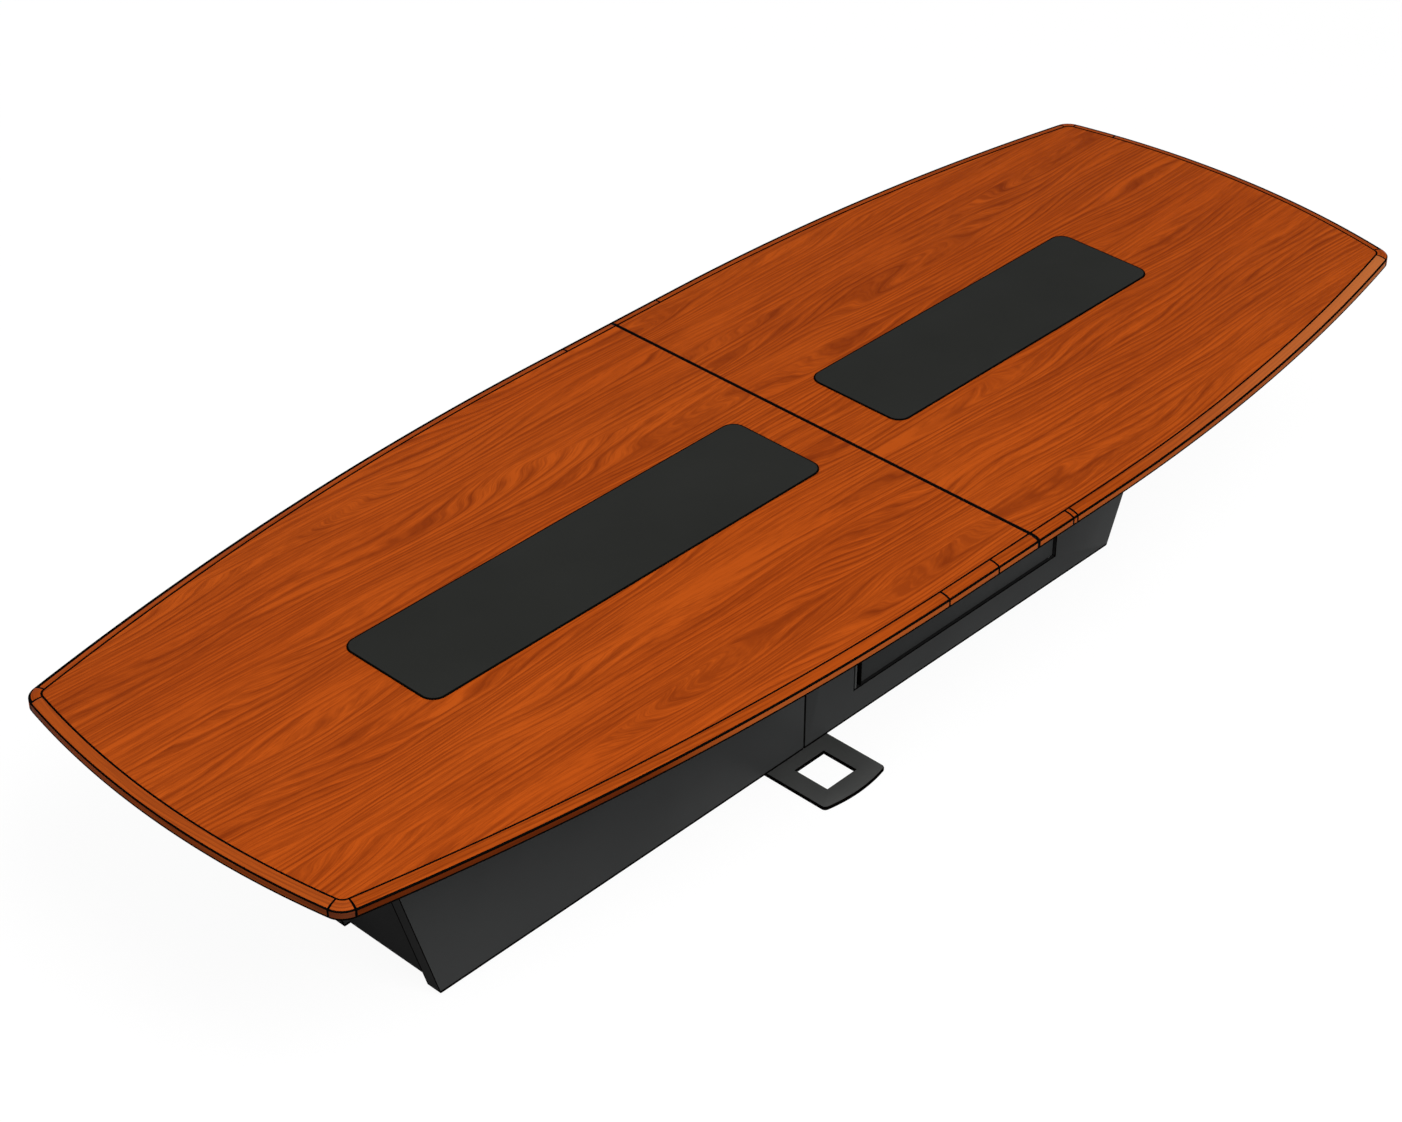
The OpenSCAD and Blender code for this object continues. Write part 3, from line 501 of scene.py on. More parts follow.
def veneer(name, vector_of, seed, lines, arches, seam=False, depth=1.0, tone=1.0, lighting_paint=None):
    """Satin lacquered cherry; the two panels have a dark glaze in the bevels of their seam, and
    the mouldings have one at their ends."""
    finish = bpy.context.scene.table_finish
    material, tree, shader = new_material(name, Specular_IOR_Level=0.008)
    vector = vector_of(tree)
    colour, pores = cherry_colour(tree, vector, seed, lines, arches, depth)
    if seam:
        away = maths(tree, "ABSOLUTE", maths(tree, "SUBTRACT", apart(tree, vector)[0], SEAM_X))
        dark = maths(tree, "LESS_THAN", away, SEAM_LINE + SEAM_GAP / 2)
        colour = blend(tree, dark, colour, finish.glaze)
    if tone != 1.0:
        colour = blend(tree, 1.0, colour, (tone, tone, tone), "MULTIPLY")
    # Painted shade and painted highlights, on the front and near-end mouldings only
    if lighting_paint:
        along, _, high = apart(tree, object_vector(tree))
        colour = lighting_paint(tree, colour, along, maths(tree, "LESS_THAN", high, TABLE_H - MOULDING_DROP))
    if not seam:
        first, last, _ = apart(tree, uv_vector(tree, "Ends"))
        nearest = maths(tree, "MINIMUM", first, last)
        colour = blend(tree, maths(tree, "LESS_THAN", nearest, JOINT_LINE), colour, finish.glaze)
    wire(tree, colour, shader.inputs["Base Color"])
    wire(tree, effect(tree, "polish", vector, Low=0.42, High=0.50)["Roughness"],
         shader.inputs["Roughness"])
    bump(tree, shader, pores, 0.00006, 0.5)
    return material


# Roughness low and high, tooth size, tooth depth, cloud strength, cloud size, metallic, specular
TOOTHED = {
    "glaze": (0.45, 0.6, 1200, 0.00002, 0.10, 5.0, 0.0, 0.0),
    "stringing": (0.5, 0.6, 1500, 0.00002, 0.10, 5.0, 0.0, 0.0),
    "pad": (0.62, 0.72, 1400, 0.00008, 0.05, 3.0, 0.0, 0.05),
    "slab": (0.55, 0.66, 800, 0.00005, 0.06, 2.0, 0.0, 0.05),
    "leaf": (0.55, 0.66, 800, 0.00005, 0.06, 2.0, 0.0, 0.05),
    "slab_edge": (0.5, 0.6, 900, 0.00004, 0.05, 3.0, 0.0, 0.0),
    "slab_lip": (0.5, 0.6, 900, 0.00004, 0.05, 3.0, 0.0, 0.02),
    "steel_coat": (0.5, 0.62, 1700, 0.00012, 0.06, 6.0, 0.0, 0.06),
    "beech": (0.6, 0.7, 500, 0.0001, 0.12, 30.0, 0.0, 0.2),
    "zinc": (0.28, 0.42, 700, 0.00003, 0.12, 60.0, 1.0, 0.5),
    "brass": (0.25, 0.4, 700, 0.00003, 0.10, 60.0, 1.0, 0.5),
    "nylon": (0.45, 0.6, 1100, 0.00006, 0.10, 20.0, 0.0, 0.2),
}


def toothed(name):
    """A plain finish with faint clouds, a fine tooth and a slightly uneven gloss."""
    low, high, tooth, depth, cloud, cloud_size, metallic, specular = TOOTHED[name]
    colour = getattr(bpy.context.scene.table_finish, "glaze" if name == "stringing" else name)
    material, tree, shader = new_material(name, Metallic=metallic, Specular_IOR_Level=specular)
    vector = object_vector(tree)
    parts = effect(tree, "tooth", vector, Tooth_size=tooth, Cloud_size=cloud_size)
    dark = tuple(c * (1 - cloud) for c in colour)
    light = tuple(min(1.0, c * (1 + cloud)) for c in colour)
    shade = blend(tree, spread(tree, parts["Clouds"], 0.35, 0.65), dark, light)
    shade = blend(tree, spread(tree, parts["Tooth"], 0.3, 0.7, 0.0, 0.25), shade, dark)
    wire(tree, shade, shader.inputs["Base Color"])
    wire(tree, effect(tree, "polish", vector, Low=low, High=high)["Roughness"],
         shader.inputs["Roughness"])
    bump(tree, shader, parts["Tooth"], depth, 0.6)
    return material


def chipboard(name):
    """Particle board with pressed chips of uneven tone."""
    colour = bpy.context.scene.table_finish.board
    material, tree, shader = new_material(name, Roughness=0.85, Specular_IOR_Level=0.15)
    parts = effect(tree, "chips", object_vector(tree))
    shade = blend(tree, parts["Tone"], tuple(c * 0.72 for c in colour), tuple(c * 1.1 for c in colour))
    wire(tree, shade, shader.inputs["Base Color"])
    bump(tree, shader, parts["Height"], 0.0003, 0.5)
    return material


# Each cherry finish: its vector, seed, lines per metre, arches and other values
CHERRY = {
    "veneer_near": (object_vector, 0.0, 62.0, 4.6, dict(seam=True)),
    "veneer_far": (object_vector, 3.7, 62.0, 4.6, dict(seam=True)),
    "moulding": (uv_vector, 1.3, 90.0, 1.6, dict(depth=0.8, tone=0.84)),
    # The front and near-end mouldings are copies of the moulding with painted shade and painted
    # highlights
    "moulding_front": (uv_vector, 1.3, 90.0, 1.6, dict(depth=0.8, tone=0.8, lighting_paint=front_light_paint)),
    "moulding_near": (uv_vector, 1.3, 90.0, 1.6, dict(depth=0.8, tone=0.84, lighting_paint=end_light_paint)),
}


@functools.cache
def material(name):
    """The finish of that name, built the first time that it is asked for."""
    if name in CHERRY:
        *values, more = CHERRY[name]
        return veneer(name, *values, **more)
    return chipboard(name) if name == "board" else toothed(name)


# Mesh helpers


def mesh_of(name, bm):
    mesh = bpy.data.meshes.new(name)
    bm.to_mesh(mesh)
    bm.free()
    return mesh


def placed(name, data):
    """A new object of the scene."""
    thing = bpy.data.objects.new(name, data)
    bpy.context.scene.collection.objects.link(thing)
    return thing


def put(name, bm, finishes, body, slot, *nodes, sharp=32.0):
    """Makes a piece of a finished bmesh, which stands for those solids."""
    bmesh.ops.recalc_face_normals(bm, faces=bm.faces[:])
    for face in bm.faces:
        face.smooth = True
    mesh = mesh_of(name, bm)
    mesh.set_sharp_from_angle(angle=math.radians(sharp))
    for finish in finishes:
        mesh.materials.append(material(finish))
    piece = placed(name, mesh)
    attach(piece, body)
    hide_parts(*nodes)


def bevel(bm, geom, width, segments=2, affect="EDGES"):
    return bmesh.ops.bevel(bm, geom=geom, offset=width, segments=segments, profile=0.5, affect=affect,
                           clamp_overlap=True, material=-1)["faces"]


def dress(faces, place=1):
    """Gives faces the finish at that place in the list of their piece."""
    for face in faces:
        face.material_index = place


def move(bm, parts, vector):
    """Moves the vertices among some parts of a mesh."""
    bmesh.ops.translate(bm, verts=[v for v in parts if isinstance(v, bmesh.types.BMVert)], vec=vector)


def thicken(bm, vector):
    """Extrudes a flat shape along a vector, and turns its faces outwards."""
    move(bm, bmesh.ops.extrude_face_region(bm, geom=bm.faces[:])["geom"], vector)
    bmesh.ops.recalc_face_normals(bm, faces=bm.faces[:])


def rectangle(length, width):
    """A new mesh with one flat face about the origin."""
    bm = bmesh.new()
    bmesh.ops.create_grid(bm, x_segments=1, y_segments=1, size=0.5)
    bmesh.ops.scale(bm, verts=bm.verts[:], vec=(length, width, 1))
    return bm


def cut(bm, point, normal):
    """Splits all faces along a plane."""
    bmesh.ops.bisect_plane(bm, geom=bm.verts[:] + bm.edges[:] + bm.faces[:], dist=TINY,
                           plane_co=point, plane_no=normal)


def sharp_edges(bm, angle=30.0):
    limit = math.radians(angle)
    return [e for e in bm.edges if e.is_manifold and e.calc_face_angle(0.0) > limit]


def turned(bottom, steps):
    """A turned shape about the Z axis through bottom, from (radius, height) steps."""
    bm = bmesh.new()
    points = [bm.verts.new(bottom + Vector((r, 0, h))) for r, h in steps]
    edges = [bm.edges.new(pair) for pair in zip(points, points[1:])]
    bmesh.ops.spin(bm, geom=points + edges, cent=bottom, axis=(0, 0, 1), angle=math.tau, steps=40,
                   use_merge=True)
    bmesh.ops.remove_doubles(bm, verts=bm.verts[:], dist=TINY)
    return bm


# Outline of the top


def circles_meet(c1, r1, c2, r2):
    """Where two circles meet, on the left of the way from the first to the second."""
    gap = c2 - c1
    d = gap.length
    along = (r1 * r1 - r2 * r2 + d * d) / (2 * d)
    aside = math.sqrt(r1 * r1 - along * along)
    e = gap / d
    return c1 + along * e + aside * Vector((-e.y, e.x))


def half_arcs(half):
    """Centres of a half's arcs, and the directions in which they meet, for its back edge."""
    side = Vector((half["mid"], TABLE_W / 2 - half["side_r"]))
    end = Vector((half["end_r"] - TABLE_L / 2, 0.0))
    corner = circles_meet(side, half["side_r"] - CORNER_R, end, half["end_r"] - CORNER_R)
    turns = [math.atan2(way.y, way.x) for way in (corner - side, corner - end)]
    return side, corner, end, *turns


def side_between(front):
    """Foot and head of the clear wood on a moulding's outer face, between its two dark lines."""
    detail = bpy.context.scene.table_detail
    upper = detail.front_line if front else detail.upper_line
    return UNDER_Z + ARRIS + detail.lower_line, TABLE_H - MOULDING_DROP - ARRIS - upper


def moulding_loop(bm, centre, radius, turn, side_low, side_high):
    """The moulding's section, standing at a direction from the centre of its arc."""
    run = MOULDING_W - ARRIS
    bow_r = (run * run + MOULDING_DROP ** 2) / (2 * MOULDING_DROP)
    inner, lip = radius - MOULDING_W, bpy.context.scene.table_detail.inner_line
    rim = bm.verts.new((inner, 0, TABLE_H))
    top = bm.verts.new((inner + lip, 0, TABLE_H - bow_r + math.sqrt(bow_r ** 2 - lip ** 2)))
    bow = bmesh.ops.spin(bm, geom=[top], cent=(inner, 0, TABLE_H - bow_r), axis=(0, 1, 0),
                         angle=math.asin(run / bow_r) - math.asin(lip / bow_r),
                         steps=BOW_STEPS)["geom_last"]
    last = [v for v in bow if isinstance(v, bmesh.types.BMVert)][0]
    bm.edges.new((rim, top))
    rest = [bm.verts.new(p) for p in (
        (radius, 0, TABLE_H - MOULDING_DROP - ARRIS), (radius, 0, side_high), (radius, 0, side_low),
        (radius, 0, UNDER_Z + ARRIS), (radius - ARRIS, 0, UNDER_Z), (inner, 0, UNDER_Z))]
    for pair in zip([last, *rest], [*rest, rim]):
        bm.edges.new(pair)
    bmesh.ops.rotate(bm, verts=bm.verts[:], cent=(0, 0, 0), matrix=Matrix.Rotation(turn, 3, "Z"))
    move(bm, bm.verts, (*centre, 0))
    return bm.edges[:]


def moulding(name, half, centre, radius, a0, a1, side=1, bar=0.0, steps=24, shift=0.0, brow=0):
    """A length of moulding round an arc, with a straight bar towards +X if asked. The half of
    the top and the side of the table (1 is the back) say how it is mirrored into place. A brow
    is a dark line on that many of the upper face's facets, from the outside."""
    detail = bpy.context.scene.table_detail
    front = name.startswith("moulding_front") or name == "moulding_infill"
    side_low, side_high = side_between(front)
    bm = bmesh.new()
    loop = moulding_loop(bm, centre, radius, a0, side_low, side_high)
    if bar:
        move(bm, bmesh.ops.extrude_edge_only(bm, edges=loop)["geom"], (bar, 0, 0))
    if a1 != a0:
        ends = {v for e in loop for v in e.verts}
        bmesh.ops.spin(bm, geom=[*ends, *loop], cent=(*centre, 0), axis=(0, 0, 1), angle=a1 - a0,
                       steps=steps)
    caps = bmesh.ops.holes_fill(bm, edges=bm.edges[:], sides=0)["faces"]
    bmesh.ops.recalc_face_normals(bm, faces=bm.faces[:])
    rim = [e for cap in caps for e in cap.edges]
    dress(caps)
    dress(bevel(bm, rim, detail.joint_bevel))
    run, ends = bm.loops.layers.uv.new("Run"), bm.loops.layers.uv.new("Ends")
    at_seam = SEAM_LINE - JOINT_LINE if bar and centre[0] + bar > half["seam"] - JOINT else 0.0
    centre = Vector(centre)
    brow_starts = radius - ARRIS - brow * (MOULDING_W - ARRIS) / BOW_STEPS if brow else radius
    for face in bm.faces:
        middle = face.calc_center_median()
        rho = (middle.xy - centre).length if middle.x <= centre.x or not bar else middle.y - centre.y
        at_lip = middle.z > TABLE_H - ARRIS / 2 and rho < radius - MOULDING_W + detail.inner_line
        at_arris = rho > radius - ARRIS * 0.9 and not side_low < middle.z < side_high
        if at_lip or at_arris or middle.z > side_high and rho > brow_starts:
            face.material_index = 1
        for corner in face.loops:
            p = corner.vert.co
            flat = p.xy - centre
            if bar and p.x > centre.x:
                along, out = p.x - centre.x, flat.y
            else:
                angle = math.atan2(flat.y, flat.x) % math.tau
                along, out = (math.pi / 2 - angle) * radius, flat.length
            corner[run].uv = (along + shift, out - radius - (p.z - TABLE_H))
    places = [corner[run].uv.x for face in bm.faces for corner in face.loops]
    first, last = min(places), max(places)
    for face in bm.faces:
        for corner in face.loops:
            along = corner[run].uv.x
            corner[ends].uv = (along - first, last - along - at_seam)
    bmesh.ops.scale(bm, verts=bm.verts[:], vec=(half["mirror"], side, 1))
    wood = "moulding_front" if front else "moulding"
    if name in ("moulding_end_near", "corner_near_front"):
        wood = "moulding_near"
    put(name, bm, (wood, "glaze"), "table", "cherry_moulding", name)


def joint_angle(radius):
    """Half a joint's gap, as an angle round an arc."""
    return JOINT / 2 / radius


# Operators


class TABLE_OT_long_mouldings(bpy.types.Operator):
    """Models the mouldings along both long edges of the top"""
    bl_idname = "table.long_mouldings"
    bl_label = "Long mouldings"

    def execute(self, context):
        for half, place in ((NEAR, "near"), (FAR, "far")):
            centre, _, _, turn, _ = half_arcs(half)
            radius = half["side_r"]
            give = joint_angle(radius)
            for side, edge in ((-1, "front"), (1, "back")):
                short = (FRONT_SHORT if side < 0 else BACK_SHORT)[half["mirror"]]
                spare = INFILL if edge == "front" and place == "far" else 0.0
                start = half["seam"] - short
                bar, first = start - spare - JOINT / 2 - half["mid"], math.pi / 2
                if edge == "front" and place == "near":
                    split = first + (FRONT_MID - start + half["mid"]) / radius
                    moulding("moulding_front_near_mid", half, centre, radius, first,
                             split - give, side, bar=bar, steps=3, shift=7.7)
                    bar, first = 0.0, split + give
                moulding(f"moulding_{edge}_{place}_long", half, centre, radius, first, turn - give,
                         side, bar=bar, steps=36, shift=2.0 * side + half["mirror"],
                         brow=BROW if side > 0 else 0)
                self.short(f"moulding_{edge}_{place}_short", half, centre, radius, side,
                           start + JOINT / 2, half["seam"] - SEAM_GAP / 2)
                if spare:
                    self.short("moulding_infill", half, centre, radius, side,
                               start - spare + JOINT / 2, start - JOINT / 2)
        return {"FINISHED"}

    def short(self, name, half, centre, radius, side, x0, x1):
        """A straight length between two places along the table."""
        moulding(name, half, (x0, centre.y), radius, math.pi / 2, math.pi / 2, side, bar=x1 - x0,
                 shift=5.0 * side + x0 + 3.1 * half["mirror"], brow=BROW if side > 0 else 0)


class TABLE_OT_end_mouldings(bpy.types.Operator):
    """Models the mouldings round both bowed ends and the four rounded corner blocks"""
    bl_idname = "table.end_mouldings"
    bl_label = "End mouldings"

    def execute(self, context):
        for half, place in ((NEAR, "near"), (FAR, "far")):
            _, corner, centre, side_turn, end_turn = half_arcs(half)
            radius = half["end_r"]
            give, corner_give = joint_angle(radius), joint_angle(CORNER_R)
            around = math.tau - end_turn
            if place == "near":
                moulding("moulding_end_near", half, centre, radius, end_turn + give,
                         around - give, steps=48, shift=9.0)
            else:
                split = end_turn + FAR_END_SHORT / radius
                moulding("moulding_end_far_short", half, centre, radius, end_turn + give,
                         split - give, steps=10, shift=11.0, brow=BROW)
                moulding("moulding_end_far_long", half, centre, radius, split + give,
                         around - give, steps=44, shift=14.0, brow=BROW)
            for side, edge in ((-1, "front"), (1, "back")):
                moulding(f"corner_{place}_{edge}", half, corner, CORNER_R, side_turn + corner_give,
                         end_turn - corner_give, side, steps=12, shift=17.0 + side,
                         brow=CORNER_BROW if side > 0 else 0)
        return {"FINISHED"}


class TABLE_OT_pads(bpy.types.Operator):
    """Models the two dark pads, with a dark rim and a rounded upper edge"""
    bl_idname = "table.pads"
    bl_label = "Pads"

    def execute(self, context):
        detail = context.scene.table_detail
        for half, name in ((NEAR, "pad_near"), (FAR, "pad_far")):
            middle = half["mirror"] * (half["seam"] - half["pad_gap"] - half["pad_l"] / 2)
            bm = rectangle(half["pad_l"], PAD_W)
            bevel(bm, bm.verts[:], PAD_R, 12, "VERTICES")
            move(bm, bm.verts, (middle, 0, TABLE_H - POCKET))
            thicken(bm, (0, 0, PAD_T))
            high = TABLE_H - POCKET + PAD_T
            rim = [e for e in bm.edges if all(abs(v.co.z - high) < TINY for v in e.verts)]
            bevel(bm, rim, detail.pad_bevel, 3)
            dress(bm.faces)
            field = [f for f in bm.faces if f.normal.z > SQUARE_ON and len(f.verts) > 20]
            bmesh.ops.inset_region(bm, faces=field, thickness=detail.pad_rim, use_even_offset=True)
            dress(field, 0)
            put(name, bm, ("pad", "glaze"), "table", "pad_black", name)
        return {"FINISHED"}


class TABLE_OT_side_panels(bpy.types.Operator):
    """Models the four side boards of the base, one of them with the door's opening"""
    bl_idname = "table.side_panels"
    bl_label = "Side panels"

    def execute(self, context):
        near_x, far_x = BASE_X - BASE_NEAR_L, BASE_X + BASE_FAR_L
        rise = UNDER_Z - BASE_Z
        for far, place in ((False, "near"), (True, "far")):
            joint = BASE_X + (PANEL_GAP if far else -PANEL_GAP) / 2
            low = far_x if far else near_x
            high = low + rise * math.tan(FAR_LEAN if far else -NEAR_LEAN)
            corners = ((joint, BASE_Z), (low, BASE_Z), (high, UNDER_Z), (joint, UNDER_Z))
            for front, edge in ((True, "front"), (False, "back")):
                self.panel(f"side_{edge}_{place}", corners, -OUTER_Y if front else INNER_Y,
                           opening() if front and far else None)
        return {"FINISHED"}

    def panel(self, name, corners, y, hole):
        detail = bpy.context.scene.table_detail
        bm = bmesh.new()
        face = bm.faces.new([bm.verts.new((x, y, z)) for x, z in corners])
        if hole:
            x0, x1, z0, z1 = hole
            bmesh.ops.inset_region(bm, faces=[face], thickness=FIRST_INSET, use_boundary=True,
                                   use_even_offset=True)
            middle = face.calc_center_median()
            for vert in face.verts:
                vert.co.x = x0 if vert.co.x < middle.x else x1
                vert.co.z = z0 if vert.co.z < middle.z else z1
            bmesh.ops.delete(bm, geom=[face], context="FACES_ONLY")
        thicken(bm, (0, SIDE_T, 0))
        cut(bm, (0, 0, BASE_Z + detail.panel_line), (0, 0, 1))
        cut(bm, (0, math.copysign(INNER_Y + detail.edge_line, y), 0), (0, 1, 0))
        for face in bm.faces:
            x, depth, z = face.calc_center_median()
            inside = hole and (hole[0] - NEAR_BY < x < hole[1] + NEAR_BY
                               and hole[2] - NEAR_BY < z < hole[3] + NEAR_BY)
            # Faces inside the door's opening take the painted shade of its recess
            face.material_index = 0 if abs(face.normal.y) > SQUARE_ON else 3 if inside else 2
            lined = face.material_index == 2 and abs(depth) < INNER_Y + detail.edge_line
            if lined or z < BASE_Z + detail.panel_line and not inside:
                face.material_index = 1
        dress(bevel(bm, sharp_edges(bm), detail.panel_bevel))
        put(name, bm, ("slab", "glaze", "slab_edge", "slab_lip"), "table", "slab_grey", name)


def opening():
    """The door's opening: its two sides, its sill and its head."""
    x0 = BASE_X + OPENING_X
    return x0, x0 + OPENING_W, BASE_Z + SILL_H, UNDER_Z - HEAD_H


class TABLE_OT_end_panels(bpy.types.Operator):
    """Models the two leaning end boards"""
    bl_idname = "table.end_panels"
    bl_label = "End panels"

    def execute(self, context):
        detail = context.scene.table_detail
        rise = UNDER_Z - BASE_Z
        for way, start, lean, name in ((-1, BASE_X - BASE_NEAR_L, NEAR_LEAN, "end_panel_near"),
                                       (1, BASE_X + BASE_FAR_L, FAR_LEAN, "end_panel_far")):
            low = start - way * END_RECESS
            high = low + way * rise * math.tan(lean)
            wall = way * BOARD_T / math.cos(lean)
            bm = bmesh.new()
            points = ((low, BASE_Z), (low - wall, BASE_Z), (high - wall, UNDER_Z), (high, UNDER_Z))
            bm.faces.new([bm.verts.new((x, -INNER_Y, z)) for x, z in points])
            thicken(bm, (0, 2 * INNER_Y, 0))
            dress(bevel(bm, sharp_edges(bm), detail.panel_bevel / 2))
            put(name, bm, ("slab_edge", "glaze"), "table", "slab_grey", name)
        return {"FINISHED"}


class TABLE_OT_door(bpy.types.Operator):
    """Models the door's leaf and its full-height finger pull"""
    bl_idname = "table.door"
    bl_label = "Door"

    def execute(self, context):
        detail = context.scene.table_detail
        low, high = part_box("door_leaf")
        bm = bmesh.new()
        bmesh.ops.create_cube(bm, size=1.0)
        bmesh.ops.scale(bm, verts=bm.verts[:], vec=high - low)
        move(bm, bm.verts, (low + high) / 2)
        for face in bm.faces:
            face.material_index = 0 if abs(face.normal.y) > SQUARE_ON else 2
        dress(bevel(bm, sharp_edges(bm), detail.panel_bevel))
        put("door_leaf", bm, ("leaf", "glaze", "slab_edge"), "door", "slab_grey", "door_leaf")
        low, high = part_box("door_pull")
        wide, deep = high.x - low.x, high.y - low.y
        x0 = (wide - PULL_SLOT) / 2
        bm = bmesh.new()
        points = ((0, 0), (x0, 0), (x0, PULL_LIP_T), (x0 - PULL_UNDERCUT, PULL_LIP_T),
                  (x0 - PULL_UNDERCUT, PULL_SLOT_D), (x0 + PULL_SLOT, PULL_SLOT_D),
                  (x0 + PULL_SLOT, 0), (wide, 0), (wide, deep), (0, deep))
        bm.faces.new([bm.verts.new((low.x + x, low.y + y, low.z)) for x, y in points])
        thicken(bm, (0, 0, high.z - low.z))
        bevel(bm, sharp_edges(bm), PULL_BEVEL)
        # Painted shade: the channel's right wall and the lip beside it take the dark glaze
        beside = low.x + x0 + PULL_SLOT - PULL_BEVEL
        dress(f for f in bm.faces if f.calc_center_median().x > beside)
        put("door_pull", bm, ("steel_coat", "glaze"), "door", "pull_metal", "door_pull")
        return {"FINISHED"}


class TABLE_OT_foot(bpy.types.Operator):
    """Models the steel cross foot with its bowed ends and two square windows"""
    bl_idname = "table.foot"
    bl_label = "Cross foot"

    def execute(self, context):
        detail = context.scene.table_detail
        half_w, half_l = FOOT_W / 2, FOOT_L / 2
        bow_r = (half_w ** 2 + FOOT_BOW ** 2) / (2 * FOOT_BOW)
        bm = rectangle(FOOT_W, FOOT_L - 2 * FOOT_BOW)
        near = OUTER_Y + WINDOW_GAP
        for y in (-near - WINDOW, -near, near, near + WINDOW):
            cut(bm, (0, y, 0), (0, 1, 0))
        for x in (-WINDOW / 2, WINDOW / 2):
            cut(bm, (x, 0, 0), (1, 0, 0))
        windows = [f for f in bm.faces if abs(f.calc_center_median().x) < WINDOW / 2
                   and near < abs(f.calc_center_median().y) < near + WINDOW]
        bmesh.ops.delete(bm, geom=windows, context="FACES_ONLY")

        def at_end(vert):
            return abs(abs(vert.co.y) - half_l + FOOT_BOW) < NEAR_BY

        ends = [e for e in bm.edges if all(at_end(v) for v in e.verts)]
        bmesh.ops.subdivide_edges(bm, edges=ends, cuts=BOW_STEPS - 1)
        corners = []
        for vert in bm.verts:
            if at_end(vert):
                if abs(vert.co.x) > half_w - NEAR_BY:
                    corners.append(vert)
                bowed = half_l - bow_r + math.sqrt(bow_r ** 2 - vert.co.x ** 2)
                vert.co.y = math.copysign(bowed, vert.co.y)
        bevel(bm, corners, FOOT_CORNER, 6, "VERTICES")
        thicken(bm, (0, 0, BASE_Z))
        move(bm, bm.verts, (FOOT_X, 0, 0))
        for face in bm.faces:
            face.material_index = 0 if abs(face.normal.z) > SQUARE_ON else 1
        rim = [e for e in sharp_edges(bm, 60.0) if abs(e.verts[0].co.z - e.verts[1].co.z) < TINY]
        dress(bevel(bm, rim, detail.foot_bevel))
        put("cross_foot", bm, ("steel_coat", "glaze"), "table", "foot_steel", "cross_foot")
        return {"FINISHED"}


class TABLE_OT_glides(bpy.types.Operator):
    """Models the eight screw-in glides with their domed pads"""
    bl_idname = "table.glides"
    bl_label = "Glides"

    def execute(self, context):
        for side in ("front", "back"):
            for i in range(1, 5):
                name = f"glide_{side}_{i}"
                low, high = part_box(name)
                middle = Vector(((low.x + high.x) / 2, (low.y + high.y) / 2, 0))
                bm = turned(middle, (*GLIDE_PAD, (GLIDE_STEM_R, BASE_Z),
                                     (GLIDE_STEM_R, high.z - GLIDE_CHAMFER),
                                     (GLIDE_STEM_R - GLIDE_CHAMFER, high.z), (0, high.z)))
                above = GLIDE_PAD[-1][1] + NEAR_BY
                dress(f for f in bm.faces if f.calc_center_median().z > above)
                put(name, bm, ("nylon", "zinc"), name, "black_nylon", name, sharp=40.0)
        return {"FINISHED"}


# The solids that show as they are, by their finish
KEPT = {
    "veneer_near": ("top_near",), "veneer_far": ("top_far",),
    "stringing": ("stringing_near", "stringing_far"), "beech": ("seam_dowels", "base_dowels"),
    "zinc": ("seam_bolts", "rail_screws", "bracket_screws", "splice_screws", "foot_screws",
             "top_brackets", "pivot_pins", "strike_plate"),
    "board": ("bulkhead", "top_rail_near", "top_rail_seam", "top_rail_far", "bottom_rail_near",
              "bottom_rail_far"),
    "steel_coat": ("splice_plates",), "brass": ("pivot_bushes", "glide_inserts"),
    "nylon": ("magnet_catch",),
}
FINISH_OF = {name: finish for finish, names in KEPT.items() for name in names}


class TABLE_OT_kept_parts(bpy.types.Operator):
    """Gives every solid that still shows its finish"""
    bl_idname = "table.kept_parts"
    bl_label = "Kept parts"

    def execute(self, context):
        for name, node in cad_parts.items():
            if not node.hide_render:
                for place in node.material_slots:
                    place.material = material(FINISH_OF[name])
        return {"FINISHED"}


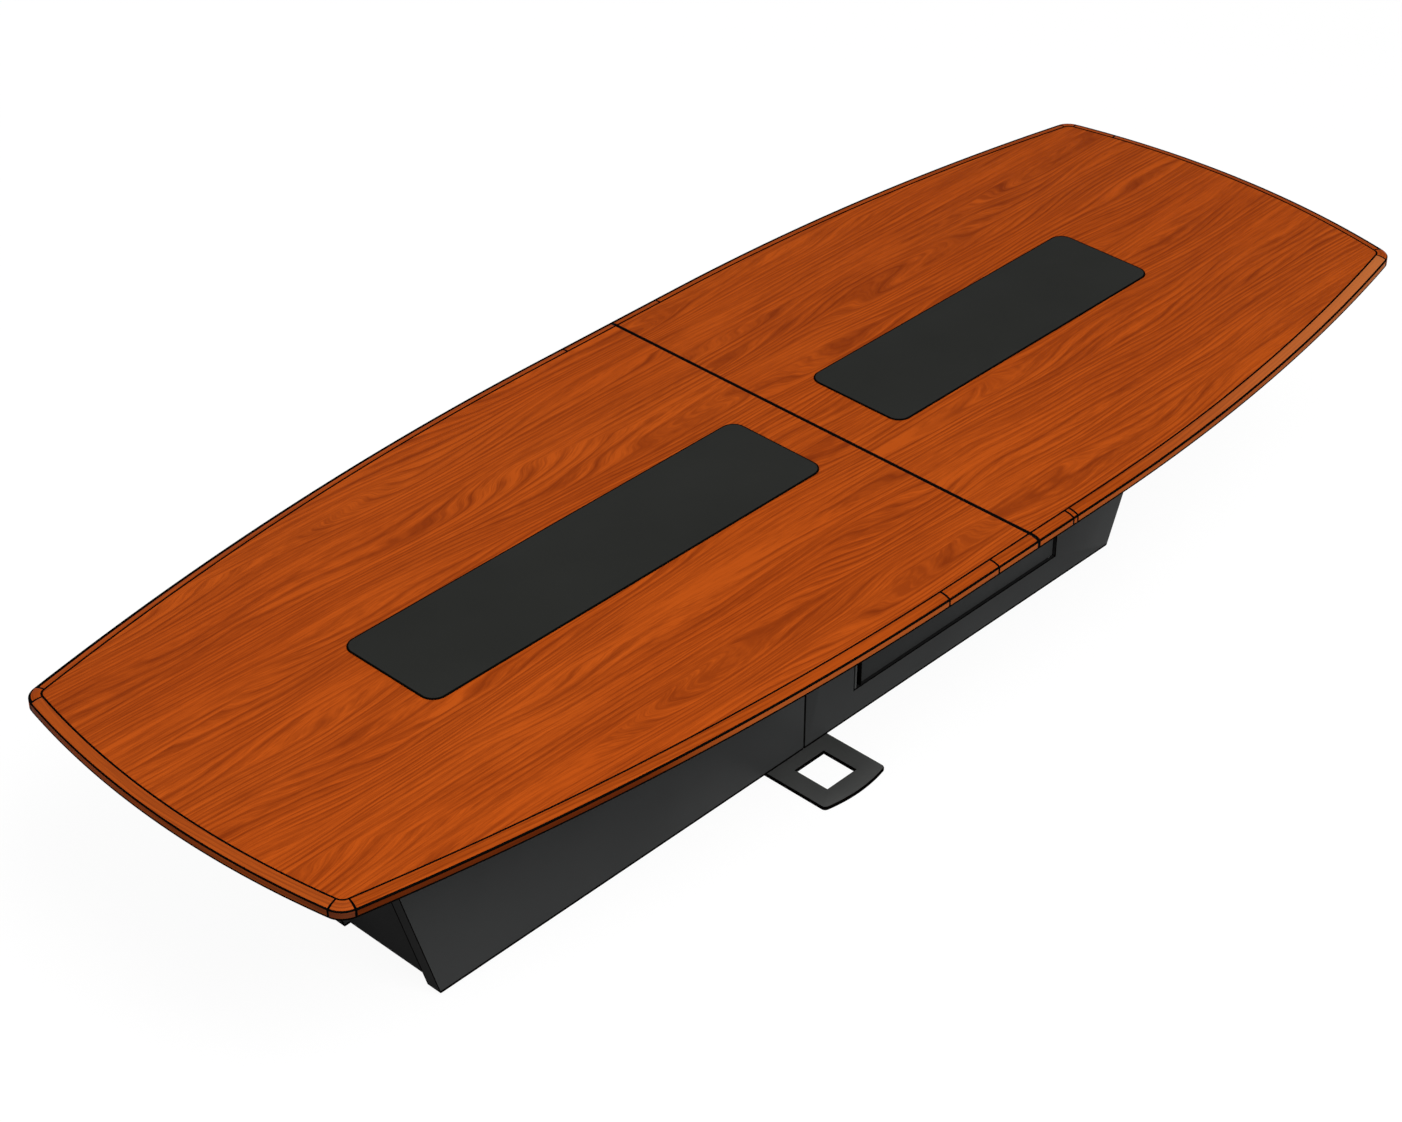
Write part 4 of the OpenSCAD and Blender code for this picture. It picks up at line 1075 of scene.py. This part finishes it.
class TABLE_OT_stage(bpy.types.Operator):
    """Sets the camera, the floor, the backdrop and the lights"""
    bl_idname = "table.stage"
    bl_label = "Stage"

    def execute(self, context):
        scene, studio = context.scene, context.scene.table_studio
        self.camera(scene, studio)
        self.floor(studio)
        self.world(scene, studio)
        for name, size, place in LAMPS:
            self.light(name, getattr(studio, f"{name.lower()}_power"), size, place)
        scene.view_settings.view_transform = "Standard"
        return {"FINISHED"}

    def camera(self, scene, studio):
        yaw, pitch, roll = (math.radians(angle) for angle in CAMERA_TURN)
        ahead = Vector((math.cos(pitch) * math.cos(yaw), math.cos(pitch) * math.sin(yaw),
                        -math.sin(pitch)))
        level = ahead.cross(Vector((0, 0, 1))).normalized()
        upright = level.cross(ahead)
        right = level * math.cos(roll) + upright * math.sin(roll)
        up = upright * math.cos(roll) - level * math.sin(roll)
        data = bpy.data.cameras.new("Camera")
        data.sensor_fit, data.sensor_width, data.lens = "HORIZONTAL", 36.0, studio.lens
        data.clip_end = 200.0
        camera = placed("Camera", data)
        turn = Matrix((right, up, -ahead)).transposed().to_4x4()
        camera.matrix_world = Matrix.Translation(CAMERA_PLACE) @ turn
        scene.camera = camera

    def floor(self, studio):
        mesh = mesh_of("Floor", rectangle(FLOOR_SIZE, FLOOR_SIZE))
        floor = placed("Floor", mesh)
        floor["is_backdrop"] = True
        paint, tree = blank_material("Floor")
        seen = self.seen(tree)
        shown = add(tree, "AddShader")
        glow = add(tree, "Emission", in_0=WHITE, in_1=FLOOR_GLOW)
        wire(tree, glow.outputs[0], shown.inputs[0])
        wire(tree, add(tree, "BsdfDiffuse", in_0=FLOOR_PAINT).outputs[0], shown.inputs[1])
        thrown = add(tree, "BsdfDiffuse", in_0=(*[studio.floor_level] * 3, 1))
        mix = add(tree, "MixShader")
        wire(tree, seen, mix.inputs[0])
        wire(tree, thrown.outputs[0], mix.inputs[1])
        wire(tree, shown.outputs[0], mix.inputs[2])
        wire(tree, mix.outputs[0], add(tree, "OutputMaterial").inputs[0])
        mesh.materials.append(paint)

    def seen(self, tree):
        """1 for a camera, glossy or transmission ray, else 0."""
        path = add(tree, "LightPath").outputs
        either = maths(tree, "MAXIMUM", path["Is Camera Ray"], path["Is Glossy Ray"])
        return maths(tree, "MAXIMUM", either, path["Is Transmission Ray"])

    def world(self, scene, studio):
        world = bpy.data.worlds.new("Studio")
        world.use_nodes = True
        scene.world = world
        tree = world.node_tree
        tree.nodes.clear()
        back = add(tree, "Background", in_0=WHITE)
        lit = times(tree, self.seen(tree), 1 - studio.ambient)
        wire(tree, maths(tree, "ADD", lit, studio.ambient), back.inputs[1])
        wire(tree, back.outputs[0], add(tree, "OutputWorld").inputs[0])

    def light(self, name, power, size, place):
        """A soft light that is aimed at the table."""
        data = bpy.data.lights.new(name, "AREA")
        data.shape, data.energy = "RECTANGLE", power
        data.size, data.size_y = size
        lamp = placed(name, data)
        aim = (Vector(LIGHT_AIM) - Vector(place)).to_track_quat("-Z", "Y")
        lamp.matrix_world = Matrix.Translation(place) @ aim.to_matrix().to_4x4()


class TABLE_PT_sidebar(bpy.types.Panel):
    """Lists the settings and the steps that build the table"""
    bl_idname = "TABLE_PT_sidebar"
    bl_label = "Conference table"
    bl_space_type = "VIEW_3D"
    bl_region_type = "UI"
    bl_category = "Table"

    def draw(self, context):
        layout, scene = self.layout, context.scene
        for title, group in (("Finish", scene.table_finish), ("Detail", scene.table_detail),
                             ("Studio", scene.table_studio)):
            box = layout.box()
            box.label(text=title)
            for name in group.__annotations__:
                box.prop(group, name)
        for step in STEPS:
            layout.operator(step.bl_idname)


STEPS = (TABLE_OT_stage, TABLE_OT_long_mouldings, TABLE_OT_end_mouldings, TABLE_OT_pads,
         TABLE_OT_side_panels, TABLE_OT_end_panels, TABLE_OT_door, TABLE_OT_foot,
         TABLE_OT_glides, TABLE_OT_kept_parts)
CLASSES = (TableFinish, TableDetail, StudioSettings, *STEPS, TABLE_PT_sidebar)


def register():
    for cls in CLASSES:
        bpy.utils.register_class(cls)
    bpy.types.Scene.table_finish = PointerProperty(type=TableFinish)
    bpy.types.Scene.table_detail = PointerProperty(type=TableDetail)
    bpy.types.Scene.table_studio = PointerProperty(type=StudioSettings)


def unregister():
    for name in ("table_finish", "table_detail", "table_studio"):
        delattr(bpy.types.Scene, name)
    for cls in reversed(CLASSES):
        bpy.utils.unregister_class(cls)


def main():
    register()
    for step in STEPS:
        group, name = step.bl_idname.split(".")
        getattr(getattr(bpy.ops, group), name)()
    plain = lambda box: [[float(c) for c in corner] for corner in box]
    {"cad": plain(CAD_BOX), "visual": plain(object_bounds())}


if __name__ == "__main__":
    main()
